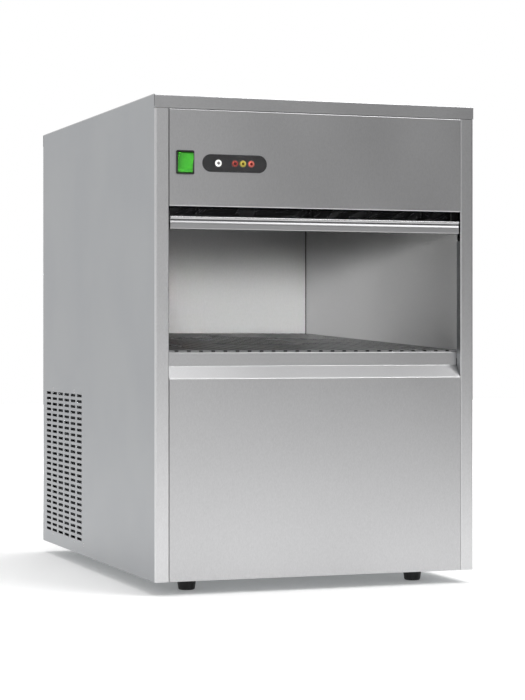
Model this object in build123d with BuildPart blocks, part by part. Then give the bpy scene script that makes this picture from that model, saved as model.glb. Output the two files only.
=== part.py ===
from build123d import *
import os
from math import cos, radians, sin

os.makedirs("parts", exist_ok=True)

# A counter-top ice cube machine. The frame stands on the floor under the middle of the
# cabinet: +Z is up, the front with the bin's mouth faces -Y, sizes are millimetres.

# Cabinet
width = 450.0
depth = 600.0
body_height = 628.0
foot_height = 18.0
sheet = 1.0                 # stainless steel of the casing
fold = 2.5                  # outside radius of the side panels' and the lid's bends
panel_fold = 1.2            # outside radius of the sharper bends round the front panels
seam = 0.4                  # gap between neighbouring panels
seat = 0.3                  # room between a piece and what it rests on
play = 0.05                 # room between a pin and its bore
strip_width = 19.0          # front edge of each side panel, beside the mouth
return_depth = 12.0         # how far the folded edges run back
side_flange = 9.5           # the front panels' own folded sides
lid_flange = 18.0
header_height = 126.0
mouth_height = 188.5

# Finger pull across the top of the lower front panel
pull_set_back = 13.0
pull_slope = 16.5
pull_band = 18.0

# Bin behind the mouth
bin_rear_gap = 17.0         # from the bin's back wall to the back of the cabinet
bin_wall_dip = 9.0          # how far the bin's walls reach below the ledge
floor_rim = 2.5             # upright front edge of the slotted floor
floor_rise = 23.3           # how much higher the floor is at the back wall
floor_sheet = 1.2
drain_pitch = 16.7
drain_slot = 4.0
drain_margin = 12.0         # solid floor before and behind the slots
rib_height = 5.0
rib_inset = 4.0
rib_set_backs = (177.0, 387.0)
tray_drop = 11.5            # tray's underside below the ledge, at the front
tray_wall = 2.0
tray_gap = 3.0
outlet_set_in = 24.0        # drain pan's outlet before its rear edge
outlet_length = 12.0

# Door: it stows under the header, slides forward on two pins and hangs over the mouth
door_short = 23.5           # how much shorter than the mouth it is, from pins to lip
door_tail = 16.0            # beyond the pins
door_outer = 7.0            # from the pins to the outer face
door_inner = 4.0            # from the pins to the inner face
door_angle = 3.2            # slope of the rails and of the stowed door
door_gap = 2.0              # beside the door
door_sheet = 0.8
liner_inset = 2.0           # from the skin's ends
liner_border = 14.0
liner_recess = 2.5
lip_gap = 13.0              # lip's upper edge below the header, stowed
lip_drop = 9.6              # lip's lower edge below the pins
lip_hem = 3.4
lip_depth = 16.0
lip_groove = 0.6            # dark line under the hem
lip_shoulder = 3.5          # how far back the rounded shoulder starts
lip_flat = 3.0              # upper edge of the flat front, below the pins
lip_round = 1.5
pin_radius = 2.0
pin_flange = 3.5
flange_length = 1.6
slider_length = 6.6
slider_height = 8.0
slider_width = 5.0
slider_round = 1.2
slider_gap = 0.6            # from the bin wall's outer face to the slider
rail_wall = 1.4
rail_height = 16.0
rail_notch_drop = 26.0      # side panels' front fold is cut away this far below the lip

# Ice chamber behind the header, and its curtain of hanging flaps
chamber_rise = 12.0         # its underside above the header's lower edge
chamber_wall = 2.5
chamber_side_gap = 0.7
pump_room = 152.6           # behind the chamber's rear wall
sump_set_back = 60.0        # its floor begins this far behind the front
dam_height = 18.0
ledge_drop = 16.0           # evaporator's ledges below the chamber's upper edge
ledge_width = 4.1
top_foam = 14.7
lid_room = 8.0              # under the lid
curtain_set_back = 27.0
flap_width = 80.0
flap_gap = 1.0
flap_plate = 1.5
flap_rib = 3.5
flap_clear = 2.5            # flaps' lower edge above the lip's upper edge
rod_radius = 2.0
rod_rise = 49.0             # above the header's lower edge
knuckle_radius = 4.5
evaporator_margin = 15.0    # plate before and behind the cups
cup_rows = 6
cup_columns = 8
cup_pitch = 36.0
cup_wall = 3.0
cup_depth = 22.0
cup_draft = 6.0
plate_thickness = 2.2
coil_radius = 4.0
coil_inset = 14.0
slide_pitch = 14.0
slide_slot = 6.0
slide_margin = 20.0
slide_rise = 22.0           # its front above the chamber's underside
slide_clear = 10.8          # its rear below the cups
slide_nose = 6.0            # how far it reaches over the sump's dam
spray_rise = 12.0
spray_pipe = 6.0
spray_branch = 4.0
spray_branches = 4
spray_pitch = 80.0
spray_reach = 95.0          # branches to each side of the header pipe
nozzle_rows = 3
nozzle_pitch = 60.0
nozzle_height = 12.0
nozzle_radii = (3.0, 1.6)
pump_inset = 56.0           # from the bin's right wall
pump_head = (30.0, 14.0)    # radius, top
pump_body = (24.0, 66.0)
pump_step = 4.0
pump_cap = 6.0
pump_nozzle = 5.0

# Louvred field low in the left side panel, in front of the condenser
vent_columns = 6
vent_rows = 26
vent_pitch_y = 36.4
vent_pitch_z = 8.32
vent_length = 27.0
vent_height = 4.0
vent_lip = 4.5
vent_from_back = 129.0      # field's middle
vent_rise = 125.5           # field's middle above the base
back_vent_columns = 5
back_vent_rows = 12
back_vent_inset = 165.0     # from the left side
back_vent_rise = 135.0

# Controls on the header
control_rise = 56.5         # above the header's lower edge
switch_inset = 40.5         # from the left side
switch_width = 24.0
switch_height = 31.0
switch_rim = 1.7            # bezel round the well
switch_wall = 1.0
switch_stand = 2.0          # bezel in front of the panel
switch_round = 2.0
switch_depth = 22.0
well_depth = 16.0
rocker_gap = 0.3
rocker_radius = 13.4        # ends of the rocker, round its pivot
rocker_corner = 28.4        # angle of its front corners from upright
rocker_throw = 8.5          # to each side of the middle
rocker_crease = 8.5         # below the pivot
rocker_dish = 1.2
rocker_stem = (6.5, 5.0)
rocker_shoulder = 13.0      # angle at which its ends stop
trunnion_radius = 1.5
trunnion_length = 0.5       # into the housing's wall
pivot_depth = 3.0           # pivot behind the panel's face
label_inset = 108.0
label_width = 88.6
label_height = 23.0
label_thickness = 0.6
lamp_radius = 4.5
lamp_hole = 3.2
lamp_stand = 0.9
lens_flat = 3.3
stem_length = 6.0
lamp_insets = {"white": 85.5, "red": 108.4, "yellow": 119.2, "orange": 130.7}
board_size = (110.0, 46.0)
board_thickness = 1.6
standoff = 5.0
relay_place = (30.0, -8.0)
relay_size = (24.0, 8.0, 18.0)
plug_place = (-34.0, 6.0)
plug_size = (16.0, 6.0, 12.0)

# Machine room under the bin
deck_drop = 47.5            # deck below the ledge
pan_edge = 15.0
foot_inset_x = 62.5
foot_inset_y = 63.0
foot_top = 13.4
foot_bottom = 10.8
foot_round = 2.5
can_radius = 75.0
can_height = 180.0
can_inset = 130.0           # from the right side
can_set_back = 180.0        # from the front
can_neck = 0.94             # shell to flange, a share of the radius
can_lift = 6.0
can_round = 22.0
can_seam = 88.0
can_flange = 6.0
can_plate = (200.0, 128.0)
can_bolts = (170.0, 98.0)
plate_sheet = 2.5
bolt_hole = 5.0
cover_size = (54.0, 24.0, 46.0)
cover_round = 4.0
grommet_height = 12.0
fin_count = 32
fin_pitch = 6.4
fin_sheet = 0.4
fin_width = 45.0
fin_margin = 4.5            # over the fins and beside them
fin_rise = 18.0             # lower edge above the end plates' feet
fin_gap = 6.0               # from the louvres' lips to the fins
coil_runs = 8
tube_radius = 4.75
fan_radius = 96.0
fan_blades = 5
hub_radius = 24.0
hub_length = 22.0
blade_root = (1.8, 26.0)    # thickness, chord
blade_tip = (1.2, 60.0)
blade_twist = (38.0, 20.0)  # at the root, at the tip
shroud_gap = 4.0
shroud_ring = 18.0
motor_radius = 38.0
motor_length = 52.0
motor_gap = 6.0
shaft_radius = 3.0
shaft_reach = 20.0          # into the motor
bracket_width = 56.0
bracket_foot = 46.0
box_size = (130.0, 90.0, 90.0)
box_round = 3.0
cover_inset = 5.0
cover_thickness = 3.0
drier_length = 132.0
drier_radius = 10.0
drier_tube = 3.0
drier_neck = 14.0
drier_place = (165.0, 240.0)    # from the left side and from the front

# Connections in the recess of the back panel
recess_inset = 100.0        # its middle from the right side
recess_rise = 75.0          # its middle above the base
recess_depth = 16.0
recess_width = 130.0
recess_height = 84.0
connection_pitch = 40.0
connection_set_in = 2.0     # ends of the pipes inside the cabinet's back
inlet_radius = 13.2
inlet_bore = 9.2
inlet_neck = 12.0
neck_length = 1.5           # from the recess to the thread
inlet_hex = 16.2
hex_length = 10.0
valve_block = (26.0, 30.0)
valve_length = 30.0
solenoid_radius = 13.0
solenoid_height = 34.0
spout_radius = 10.0
spout_bore = 7.0
spout_tail = 9.0            # its radius inside the cabinet
tail_length = 27.0
spout_flange = 14.0
spout_plate = 3.0
socket_size = (28.0, 20.0)
socket_rim = 3.0
socket_wall = 2.0
socket_depth = 22.0
blade_size = (2.0, 5.0)
blade_length = 14.0
blade_places = ((-7.0, -1.0), (7.0, -1.0), (0.0, 3.0))

# Places worked out from the sizes above
front = -depth / 2
back = depth / 2
side = width / 2
base = foot_height
top = base + body_height
mouth = side - strip_width
header_bottom = top - lid_flange - header_height
header_top = top - lid_flange - seam
rim_height = header_bottom - mouth_height
band_bottom = rim_height - pull_band
slope_bottom = band_bottom - pull_slope
band_y = front + pull_set_back
bin_back = back - bin_rear_gap
deck_top = rim_height - deck_drop
panel_half = mouth - seam
pan_floor = base + floor_sheet
pan_front = front + return_depth + 2 * seam
pan_half = side - sheet - 2 * seam
pan_back = back - 2 * sheet - 2 * seam
floor_slope = floor_rise / (bin_back - front)
vent_y = back - vent_from_back
vent_z = base + vent_rise
control_z = header_bottom + control_rise
label_x = label_inset - side
recess_x = side - recess_inset
recess_z = base + recess_rise
recess_floor = back - recess_depth
recess_face = recess_floor + sheet
outward_left = Plane(origin=(-side, 0, 0), x_dir=(0, -1, 0), z_dir=(-1, 0, 0))


def floor_z(y):
    """Upper face of the slotted floor."""
    return rim_height + floor_rim + floor_slope * (y - band_y)


def pan_z(y):
    """Underside of the drain pan, which falls to the rear."""
    return rim_height - tray_drop - floor_slope / 2 * (y - band_y)


def keep(piece, name):
    """Label one finished piece and write its STEP file."""
    piece.label = name
    export_step(piece, "parts/" + name + ".step")


# Four rubber feet, turned cones with a rounded lower edge, under the base pan.
with BuildPart() as feet:
    with BuildSketch(Plane.XZ) as foot_section:
        with BuildLine():
            Polyline((0, 0), (foot_bottom, 0), (foot_top, foot_height), (0, foot_height), close=True)
        make_face()
        fillet(foot_section.vertices().group_by(Axis.Y)[0].sort_by(Axis.X)[-1], foot_round)
    with GridLocations(2 * (side - foot_inset_x), 2 * (back - foot_inset_y), 2, 2):
        add(revolve(foot_section.sketch, Axis.Z, mode=Mode.PRIVATE))
feet.part.label = "feet"
export_step(feet.part, "parts/feet.step")

# Base pan: a folded tray that carries the whole machine room.
with BuildPart() as base_pan:
    with BuildSketch(Plane.XY.offset(base)):
        with Locations((0, (pan_front + pan_back) / 2)):
            RectangleRounded(2 * pan_half, pan_back - pan_front, fold)
    extrude(amount=pan_edge)
    offset(amount=-floor_sheet, openings=base_pan.faces().sort_by(Axis.Z)[-1])
base_pan.part.label = "base_pan"
export_step(base_pan.part, "parts/base_pan.step")

# Side panels: each is one folded sheet with a front return, a front strip, the side and a
# rear return. Notches in the front fold leave room for the door's rails and for the lid.
lip_top = header_bottom - lip_gap
side_panels = {}
for hand, name in ((-1, "left_side_panel"), (1, "right_side_panel")):
    with BuildPart() as side_panel:
        with BuildSketch(Plane.XY.offset(base)):
            with BuildLine():
                outline = FilletPolyline(
                    (hand * mouth, front + return_depth),
                    (hand * mouth, front),
                    (hand * side, front),
                    (hand * side, back - sheet),
                    (hand * (side - return_depth), back - sheet),
                    radius=[panel_fold, fold, fold],
                )
                offset(outline, amount=sheet, side=Side.RIGHT if hand < 0 else Side.LEFT)
            make_face()
        extrude(amount=body_height - sheet)
        notch_bottom = lip_top - rail_notch_drop
        notch_top = header_bottom - seam
        notch_y = front + sheet + panel_fold
        with Locations((hand * mouth, notch_y, (notch_bottom + notch_top) / 2)):
            Box(
                4 * sheet,
                return_depth,
                notch_top - notch_bottom,
                align=(Align.CENTER, Align.MIN, Align.CENTER),
                mode=Mode.SUBTRACT,
            )
        lid_notch = lid_flange + seam
        with Locations((hand * (mouth + strip_width / 2), front, top - lid_notch / 2)):
            Box(strip_width + 4 * sheet, 2 * (sheet + fold), lid_notch, mode=Mode.SUBTRACT)
        with Locations((hand * mouth, front + return_depth / 2, top - lid_notch / 2)):
            Box(4 * sheet, 2 * return_depth, lid_notch, mode=Mode.SUBTRACT)
        with Locations((hand * side, back, top)):
            Box(2 * (return_depth + fold), 2 * (sheet + fold), 2 * (sheet + fold), mode=Mode.SUBTRACT)
        if hand < 0:
            vent_places = Plane(outward_left.location * Location((-vent_y, vent_z, 0)))
            with BuildSketch(vent_places):
                with GridLocations(vent_pitch_y, vent_pitch_z, vent_columns, vent_rows):
                    Rectangle(vent_length, vent_height)
            extrude(amount=-2 * sheet, mode=Mode.SUBTRACT)
            with BuildSketch(vent_places.offset(-sheet)):
                with Locations((0, -(vent_height + sheet) / 2)):
                    with GridLocations(vent_pitch_y, vent_pitch_z, vent_columns, vent_rows):
                        Rectangle(vent_length, sheet)
            extrude(amount=-vent_lip)
    side_panels[name] = side_panel.part
    keep(side_panels[name], name)

# Back panel: it covers the side panels' rear returns, with an outlet field for the warm
# air and a recess that keeps the connections inside the cabinet's depth.
inlet_x = recess_x - connection_pitch
socket_x = recess_x + connection_pitch
with BuildPart() as back_panel:
    with BuildSketch(Plane.XZ.offset(-back)):
        with Locations((0, (base + seam + header_top) / 2)):
            Rectangle(width - 2 * seam, header_top - base - seam)
    extrude(amount=sheet)
    with BuildSketch(Plane.XZ.offset(-back)):
        with Locations((back_vent_inset - side, base + back_vent_rise)):
            with GridLocations(vent_pitch_y, 2 * vent_pitch_z, back_vent_columns, back_vent_rows):
                Rectangle(vent_length, vent_height)
    extrude(amount=2 * sheet, mode=Mode.SUBTRACT)
    with BuildSketch(Plane.XZ.offset(-back)):
        with Locations((recess_x, recess_z)):
            RectangleRounded(recess_width, recess_height, fold + sheet)
    extrude(amount=recess_depth)
    with BuildSketch(Plane.XZ.offset(-back)):
        with Locations((recess_x, recess_z)):
            RectangleRounded(recess_width - 2 * sheet, recess_height - 2 * sheet, fold)
    extrude(amount=recess_depth - sheet, mode=Mode.SUBTRACT)
    with BuildSketch(Plane.XZ.offset(-recess_face)):
        with Locations((inlet_x, recess_z)):
            Circle(inlet_neck + seat)
        with Locations((recess_x, recess_z)):
            Circle(spout_tail + seat)
        with Locations((socket_x, recess_z)):
            Rectangle(socket_size[0] + 2 * seat, socket_size[1] + 2 * seat)
    extrude(amount=sheet, mode=Mode.SUBTRACT)
back_panel.part.label = "back_panel"
export_step(back_panel.part, "parts/back_panel.step")

# Top lid: one sheet folded down at the front and the back, with a strip welded under
# each side that drops inside the side panels.
with BuildPart() as top_lid:
    with BuildSketch(Plane.YZ.offset(-side)):
        with BuildLine():
            lid_line = FilletPolyline(
                (front, top - lid_flange),
                (front, top),
                (back, top),
                (back, top - lid_flange),
                radius=fold,
            )
            offset(lid_line, amount=sheet, side=Side.RIGHT)
        make_face()
    extrude(amount=width)
    lid_strip_x = side - 1.5 * sheet - seam
    with Locations((-lid_strip_x, 0, top - lid_flange / 2), (lid_strip_x, 0, top - lid_flange / 2)):
        Box(sheet, depth - 4 * return_depth, lid_flange - sheet)
top_lid.part.label = "top_lid"
export_step(top_lid.part, "parts/top_lid.step")

# Header panel over the mouth: folded back at all four edges, cut out for the switch and
# drilled for the four lamps.
switch_x = switch_inset - side
lamp_places = {colour: inset - side for colour, inset in lamp_insets.items()}
well_width = switch_width - 2 * switch_rim
well_height = switch_height - 2 * switch_rim
socket_wide = well_width + 2 * switch_wall
socket_high = well_height + 2 * switch_wall
flange_x = panel_half - sheet / 2
with BuildPart() as header_panel:
    with BuildSketch(Plane.YZ.offset(-panel_half)):
        with BuildLine():
            header_line = FilletPolyline(
                (front + return_depth, header_bottom),
                (front, header_bottom),
                (front, header_top),
                (front + return_depth, header_top),
                radius=panel_fold,
            )
            offset(header_line, amount=sheet, side=Side.RIGHT)
        make_face()
    extrude(amount=2 * panel_half)
    with Locations((-flange_x, front + sheet / 2, 0), (flange_x, front + sheet / 2, 0)):
        with Locations((0, 0, header_bottom + panel_fold)):
            Box(
                sheet,
                side_flange,
                header_top - header_bottom - 2 * panel_fold,
                align=(Align.CENTER, Align.MIN, Align.MIN),
            )
    with BuildSketch(Plane.XZ.offset(-front)):
        with Locations((switch_x, control_z)):
            Rectangle(socket_wide + 4 * play, socket_high + 4 * play)
        with Locations(*[(lamp_x, control_z) for lamp_x in lamp_places.values()]):
            Circle(lamp_hole)
    extrude(amount=-2 * sheet, mode=Mode.SUBTRACT)
header_panel.part.label = "header_panel"
export_step(header_panel.part, "parts/header_panel.step")

# Lower front panel: a flat face with folded sides, then a slope and a set-back band that
# make the finger pull, and a ledge that carries the front of the bin's floor.
with BuildPart() as lower_front_panel:
    with BuildSketch(Plane.YZ.offset(-panel_half)):
        with BuildLine():
            lower_line = FilletPolyline(
                (front + return_depth + seam, base),
                (front, base),
                (front, slope_bottom),
                (band_y, band_bottom),
                (band_y, rim_height),
                (band_y + return_depth, rim_height),
                radius=panel_fold,
            )
            offset(lower_line, amount=sheet, side=Side.RIGHT)
        make_face()
    extrude(amount=2 * panel_half)
    with Locations((-flange_x, front + sheet / 2, 0), (flange_x, front + sheet / 2, 0)):
        with Locations((0, 0, base + panel_fold)):
            Box(
                sheet,
                side_flange,
                slope_bottom - base - 2 * panel_fold,
                align=(Align.CENTER, Align.MIN, Align.MIN),
            )
lower_front_panel.part.label = "lower_front_panel"
export_step(lower_front_panel.part, "parts/lower_front_panel.step")

# Machine room deck: the folded shelf that carries the bin over the machinery.
deck_front = front + return_depth + 2 * sheet
with BuildPart() as machine_room_deck:
    with BuildSketch(Plane.XY.offset(deck_top)):
        with Locations((0, (deck_front + pan_back) / 2)):
            RectangleRounded(2 * pan_half, pan_back - deck_front, fold)
    extrude(amount=-return_depth)
    offset(amount=-floor_sheet, openings=machine_room_deck.faces().sort_by(Axis.Z)[0])
machine_room_deck.part.label = "machine_room_deck"
export_step(machine_room_deck.part, "parts/machine_room_deck.step")

# Door geometry. Its profile plane has the pins at its origin, x towards the lip and y
# towards the outer face, which looks up while the door is stowed.
lean = radians(door_angle)
door_length = mouth_height - door_short
pin_y = front + seat + door_length * cos(lean) + door_outer * sin(lean)
pin_z = lip_top + door_length * sin(lean) - door_outer * cos(lean)
door_travel = (pin_y - front - door_outer) / cos(lean)
pin_front_z = pin_z - door_travel * sin(lean)
door_half = mouth - door_gap
door_plane = Plane(
    origin=(0, pin_y, pin_z),
    x_dir=(0, -cos(lean), -sin(lean)),
    z_dir=(-1, 0, 0),
)
print("door travel", round(door_travel, 2), "pins at rest", round(pin_y, 2), round(pin_z, 2))

# Bin walls: separate stainless sheets. Each side wall has the slot that the door's pins
# run in.
cheek_front = front + return_depth + seam
chamber_z = header_bottom + chamber_rise
wall_bottom = rim_height - bin_wall_dip
wall_top = chamber_z - seat
wall_middle = (wall_bottom + wall_top) / 2
bin_walls = {}
for hand, name in ((-1, "bin_left_wall"), (1, "bin_right_wall")):
    with BuildPart() as bin_side:
        with Locations((hand * (mouth + sheet / 2), (cheek_front + bin_back) / 2, wall_middle)):
            Box(sheet, bin_back - cheek_front - seat, wall_top - wall_bottom)
        with BuildSketch(door_plane):
            with Locations((door_travel / 2, 0)):
                SlotCenterToCenter(door_travel + 2 * slider_length, 2 * (pin_radius + 2 * seat))
        extrude(amount=-hand * (mouth + 4 * sheet), mode=Mode.SUBTRACT)
    bin_walls[name] = bin_side.part
    keep(bin_walls[name], name)

with BuildPart() as bin_back_wall:
    with Locations((0, bin_back + sheet / 2, wall_middle)):
        Box(2 * (mouth + sheet), sheet, wall_top - wall_bottom)
bin_back_wall.part.label = "bin_back_wall"
export_step(bin_back_wall.part, "parts/bin_back_wall.step")

# Slotted drain floor: a sheet that falls to the front, with an upright rim, long slots
# from front to back, and folded ribs across its underside.
floor_back = bin_back - seam
with BuildPart() as drain_floor:
    with BuildSketch(Plane.YZ.offset(-panel_half)):
        with BuildLine():
            Polyline(
                (band_y, rim_height),
                (band_y, floor_z(band_y)),
                (floor_back, floor_z(floor_back)),
                (floor_back, floor_z(floor_back) - floor_sheet),
                (band_y + floor_sheet, floor_z(band_y) - floor_sheet),
                (band_y + floor_sheet, rim_height),
                close=True,
            )
        make_face()
    extrude(amount=2 * panel_half)
    for rib_y in [front + set_back for set_back in rib_set_backs]:
        with Locations((0, rib_y, floor_z(rib_y) - floor_sheet - rib_height / 2)):
            Box(2 * (panel_half - rib_inset), floor_sheet, rib_height + floor_sheet)
    with BuildSketch(Plane.XY.offset(floor_z(floor_back) + floor_sheet)):
        with Locations((0, (band_y + floor_back) / 2)):
            with GridLocations(drain_pitch, 1, int(2 * panel_half / drain_pitch), 1):
                Rectangle(drain_slot, floor_back - band_y - 2 * drain_margin)
    extrude(amount=-(floor_rise + 4 * floor_sheet + rib_height), mode=Mode.SUBTRACT)
drain_floor.part.label = "drain_floor"
export_step(drain_floor.part, "parts/drain_floor.step")

# Drain pan: a moulded tray under the slotted floor that falls to an outlet at the back.
tray_front = band_y + return_depth + tray_gap
tray_back = bin_back - tray_gap
tray_rim = floor_sheet + seat
outlet_y = tray_back - outlet_set_in
outlet_z = pan_z(tray_back) + tray_wall
with BuildPart() as drain_pan:
    with BuildSketch(Plane.YZ.offset(-panel_half)):
        with BuildLine():
            Polyline(
                (tray_front, floor_z(tray_front) - tray_rim),
                (tray_back, floor_z(tray_back) - tray_rim),
                (tray_back, pan_z(tray_back)),
                (tray_front, pan_z(tray_front)),
                close=True,
            )
        make_face()
    extrude(amount=2 * panel_half)
    with BuildSketch(Plane.YZ.offset(tray_wall - panel_half)):
        with BuildLine():
            Polyline(
                (tray_front + tray_wall, floor_z(tray_front)),
                (tray_back - tray_wall, floor_z(tray_back)),
                (tray_back - tray_wall, pan_z(tray_back) + tray_wall),
                (tray_front + tray_wall, pan_z(tray_front) + tray_wall),
                close=True,
            )
        make_face()
    extrude(amount=2 * (panel_half - tray_wall), mode=Mode.SUBTRACT)
    with BuildSketch(Plane.XY.offset(outlet_z)):
        with Locations((0, outlet_y)):
            Circle(spout_radius)
    extrude(amount=-outlet_length)
    with BuildSketch(Plane.XY.offset(outlet_z + tray_wall)):
        with Locations((0, outlet_y)):
            Circle(spout_bore)
    extrude(amount=-2 * outlet_length, mode=Mode.SUBTRACT)
drain_pan.part.label = "drain_pan"
export_step(drain_pan.part, "parts/drain_pan.step")

# Insulation: foam slabs round the bin, between its walls and the casing, cut away where
# the door's rails are.
chamber_top = top - sheet - lid_room - top_foam - seat
foam_bottom = deck_top + seat
foam_middle = (foam_bottom + chamber_top) / 2
foam_inner = mouth + sheet + seat
foam_outer = side - sheet - seam
foam_back = bin_back + sheet + seat
rail_room_low = pin_front_z - rail_height
rail_room_high = pin_z + rail_height
rail_room_back = pin_y + door_tail + seat
with BuildPart() as insulation_walls:
    for hand in (-1, 1):
        with Locations((hand * (foam_inner + foam_outer) / 2, (deck_front + bin_back) / 2, foam_middle)):
            Box(foam_outer - foam_inner, bin_back - deck_front, chamber_top - foam_bottom)
    with Locations((0, front, (rail_room_low + rail_room_high) / 2)):
        Box(width, 2 * (rail_room_back - front), rail_room_high - rail_room_low, mode=Mode.SUBTRACT)
    with Locations((0, (foam_back + pan_back) / 2, foam_middle)):
        Box(2 * foam_inner, pan_back - foam_back, chamber_top - foam_bottom)
insulation_walls.part.label = "insulation_walls"
export_step(insulation_walls.part, "parts/insulation_walls.step")

with BuildPart() as insulation_floor:
    with BuildSketch(Plane.YZ.offset(-mouth)):
        with BuildLine():
            Polyline(
                (deck_front, foam_bottom),
                (deck_front, pan_z(deck_front) - seat),
                (bin_back, pan_z(bin_back) - seat),
                (bin_back, foam_bottom),
                close=True,
            )
        make_face()
    extrude(amount=2 * mouth)
    with Locations((0, outlet_y, foam_bottom)):
        Cylinder(spout_radius + seat, 4 * deck_drop, mode=Mode.SUBTRACT)
insulation_floor.part.label = "insulation_floor"
export_step(insulation_floor.part, "parts/insulation_floor.step")

# Door: a folded stainless skin over a moulded liner, with a rolled grip along its edge.
# The grip's rounded shoulder and flat front make the lip, under a narrow groove.
tip = door_length
grip_top = door_outer - lip_hem
nose = tip - seat
with BuildPart() as door_skin:
    with BuildSketch(door_plane.offset(-door_half)):
        with BuildLine():
            skin_line = FilletPolyline(
                (-door_tail, -door_inner),
                (-door_tail, door_outer),
                (tip, door_outer),
                (tip, grip_top),
                (tip - lip_depth / 2, grip_top),
                radius=door_sheet + seat,
            )
            offset(skin_line, amount=door_sheet, side=Side.RIGHT)
        make_face()
    extrude(amount=2 * door_half)
door_skin.part.label = "door_skin"
export_step(door_skin.part, "parts/door_skin.step")

core_half = door_half - liner_inset
liner_back = door_sheet + seat - door_tail
liner_front = tip - lip_depth
with BuildPart() as door_liner:
    with BuildSketch(door_plane.offset(-core_half)):
        with BuildLine():
            Polyline(
                (liner_back, -door_inner),
                (liner_back, door_outer - door_sheet),
                (liner_front, door_outer - door_sheet),
                (liner_front, -door_inner),
                close=True,
            )
        make_face()
    extrude(amount=2 * core_half)
    with BuildSketch(door_plane.offset(liner_border - core_half)):
        with Locations(((liner_back + liner_front) / 2, -door_inner)):
            Rectangle(liner_front - liner_back - 2 * liner_border, 2 * liner_recess)
    extrude(amount=2 * (core_half - liner_border), mode=Mode.SUBTRACT)
door_liner.part.label = "door_liner"
export_step(door_liner.part, "parts/door_liner.step")

with BuildPart() as door_grip:
    with BuildSketch(door_plane.offset(-door_half)):
        with BuildLine():
            TangentArc((nose, -lip_flat), (tip - lip_shoulder, grip_top - lip_groove), tangent=(0, 1))
            Polyline(
                (tip - lip_shoulder, grip_top - lip_groove),
                (tip - lip_shoulder, grip_top),
                (liner_front, grip_top),
                (liner_front, -lip_drop),
                (nose - lip_round, -lip_drop),
            )
            TangentArc((nose, lip_round - lip_drop), (nose - lip_round, -lip_drop), tangent=(0, -1))
            Line((nose, lip_round - lip_drop), (nose, -lip_flat))
        make_face()
    extrude(amount=2 * door_half)
door_grip.part.label = "door_grip"
export_step(door_grip.part, "parts/door_grip.step")

# Door pins: a flanged steel stub on each end of the liner.
slider_x = foam_inner + slider_gap
with BuildPart() as door_pins:
    for hand in (-1, 1):
        with BuildSketch(door_plane.offset(hand * core_half)):
            Circle(pin_flange)
        extrude(amount=hand * flange_length)
        with BuildSketch(door_plane.offset(hand * core_half)):
            Circle(pin_radius)
        extrude(amount=hand * (slider_x + slider_width - core_half))
door_pins.part.label = "door_pins"
export_step(door_pins.part, "parts/door_pins.step")

# Sliders: nylon blocks that run in the rails and carry the pins.
with BuildPart() as door_sliders:
    for hand in (-1, 1):
        with BuildSketch(door_plane.offset(hand * slider_x)):
            RectangleRounded(slider_length, slider_height, slider_round)
            Circle(pin_radius + play, mode=Mode.SUBTRACT)
        extrude(amount=hand * slider_width)
door_sliders.part.label = "door_sliders"
export_step(door_sliders.part, "parts/door_sliders.step")

# Rails: moulded channels behind the bin's side walls, closed at both ends.
with BuildPart() as door_rails:
    channel = door_travel + slider_length + 2 * seat
    channel_depth = slider_width + 2 * slider_gap
    for hand in (-1, 1):
        with BuildSketch(door_plane.offset(hand * foam_inner)):
            with Locations((door_travel / 2, 0)):
                Rectangle(channel + 2 * rail_wall, rail_height)
        extrude(amount=hand * (channel_depth + rail_wall))
        with BuildSketch(door_plane.offset(hand * foam_inner)):
            with Locations((door_travel / 2, 0)):
                Rectangle(channel, slider_height + 2 * seat)
        extrude(amount=hand * channel_depth, mode=Mode.SUBTRACT)
door_rails.part.label = "door_rails"
export_step(door_rails.part, "parts/door_rails.step")

# Ice chamber: a black moulding that is the bin's ceiling, the water sump and the cheeks
# that carry the evaporator, the slide and the curtain.
chamber_half = mouth - chamber_side_gap
chamber_height = chamber_top - chamber_z
chamber_rear = bin_back - pump_room
sump_front = front + sump_set_back
curtain_y = front + curtain_set_back
rod_z = header_bottom + rod_rise
ledge_z = chamber_top - ledge_drop
evaporator_y = (sump_front + chamber_rear) / 2
plate_length = cup_rows * cup_pitch + 2 * evaporator_margin
ledge_x = chamber_half - chamber_wall - ledge_width / 2 + play
with BuildPart() as ice_chamber:
    with BuildSketch(Plane.XY.offset(chamber_z)):
        with Locations((0, (sump_front + bin_back) / 2)):
            Rectangle(2 * chamber_half, bin_back - sump_front)
    extrude(amount=chamber_wall)
    for hand in (-1, 1):
        cheek_x = hand * (chamber_half - chamber_wall / 2)
        with Locations((cheek_x, (cheek_front + chamber_rear) / 2, chamber_z + chamber_height / 2)):
            Box(chamber_wall, chamber_rear - cheek_front, chamber_height)
        with Locations((hand * ledge_x, evaporator_y, ledge_z + chamber_wall / 2)):
            Box(ledge_width, plate_length, chamber_wall)
    with Locations((0, chamber_rear - chamber_wall / 2, chamber_z + chamber_height / 2)):
        Box(2 * chamber_half, chamber_wall, chamber_height)
    with Locations((0, sump_front + chamber_wall / 2, chamber_z + dam_height / 2)):
        Box(2 * chamber_half, chamber_wall, dam_height)
    with Locations((0, curtain_y, rod_z)):
        Cylinder(rod_radius + 2 * play, width, rotation=(0, 90, 0), mode=Mode.SUBTRACT)
ice_chamber.part.label = "ice_chamber"
export_step(ice_chamber.part, "parts/ice_chamber.step")

# Curtain: a steel rod through the cheeks, and six black flaps that hang side by side on
# it and swing forward one by one as the ice pushes past them.
with BuildPart() as curtain_rod:
    with Locations((0, curtain_y, rod_z)):
        Cylinder(rod_radius, 2 * chamber_half, rotation=(0, 90, 0))
curtain_rod.part.label = "curtain_rod"
export_step(curtain_rod.part, "parts/curtain_rod.step")

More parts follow.
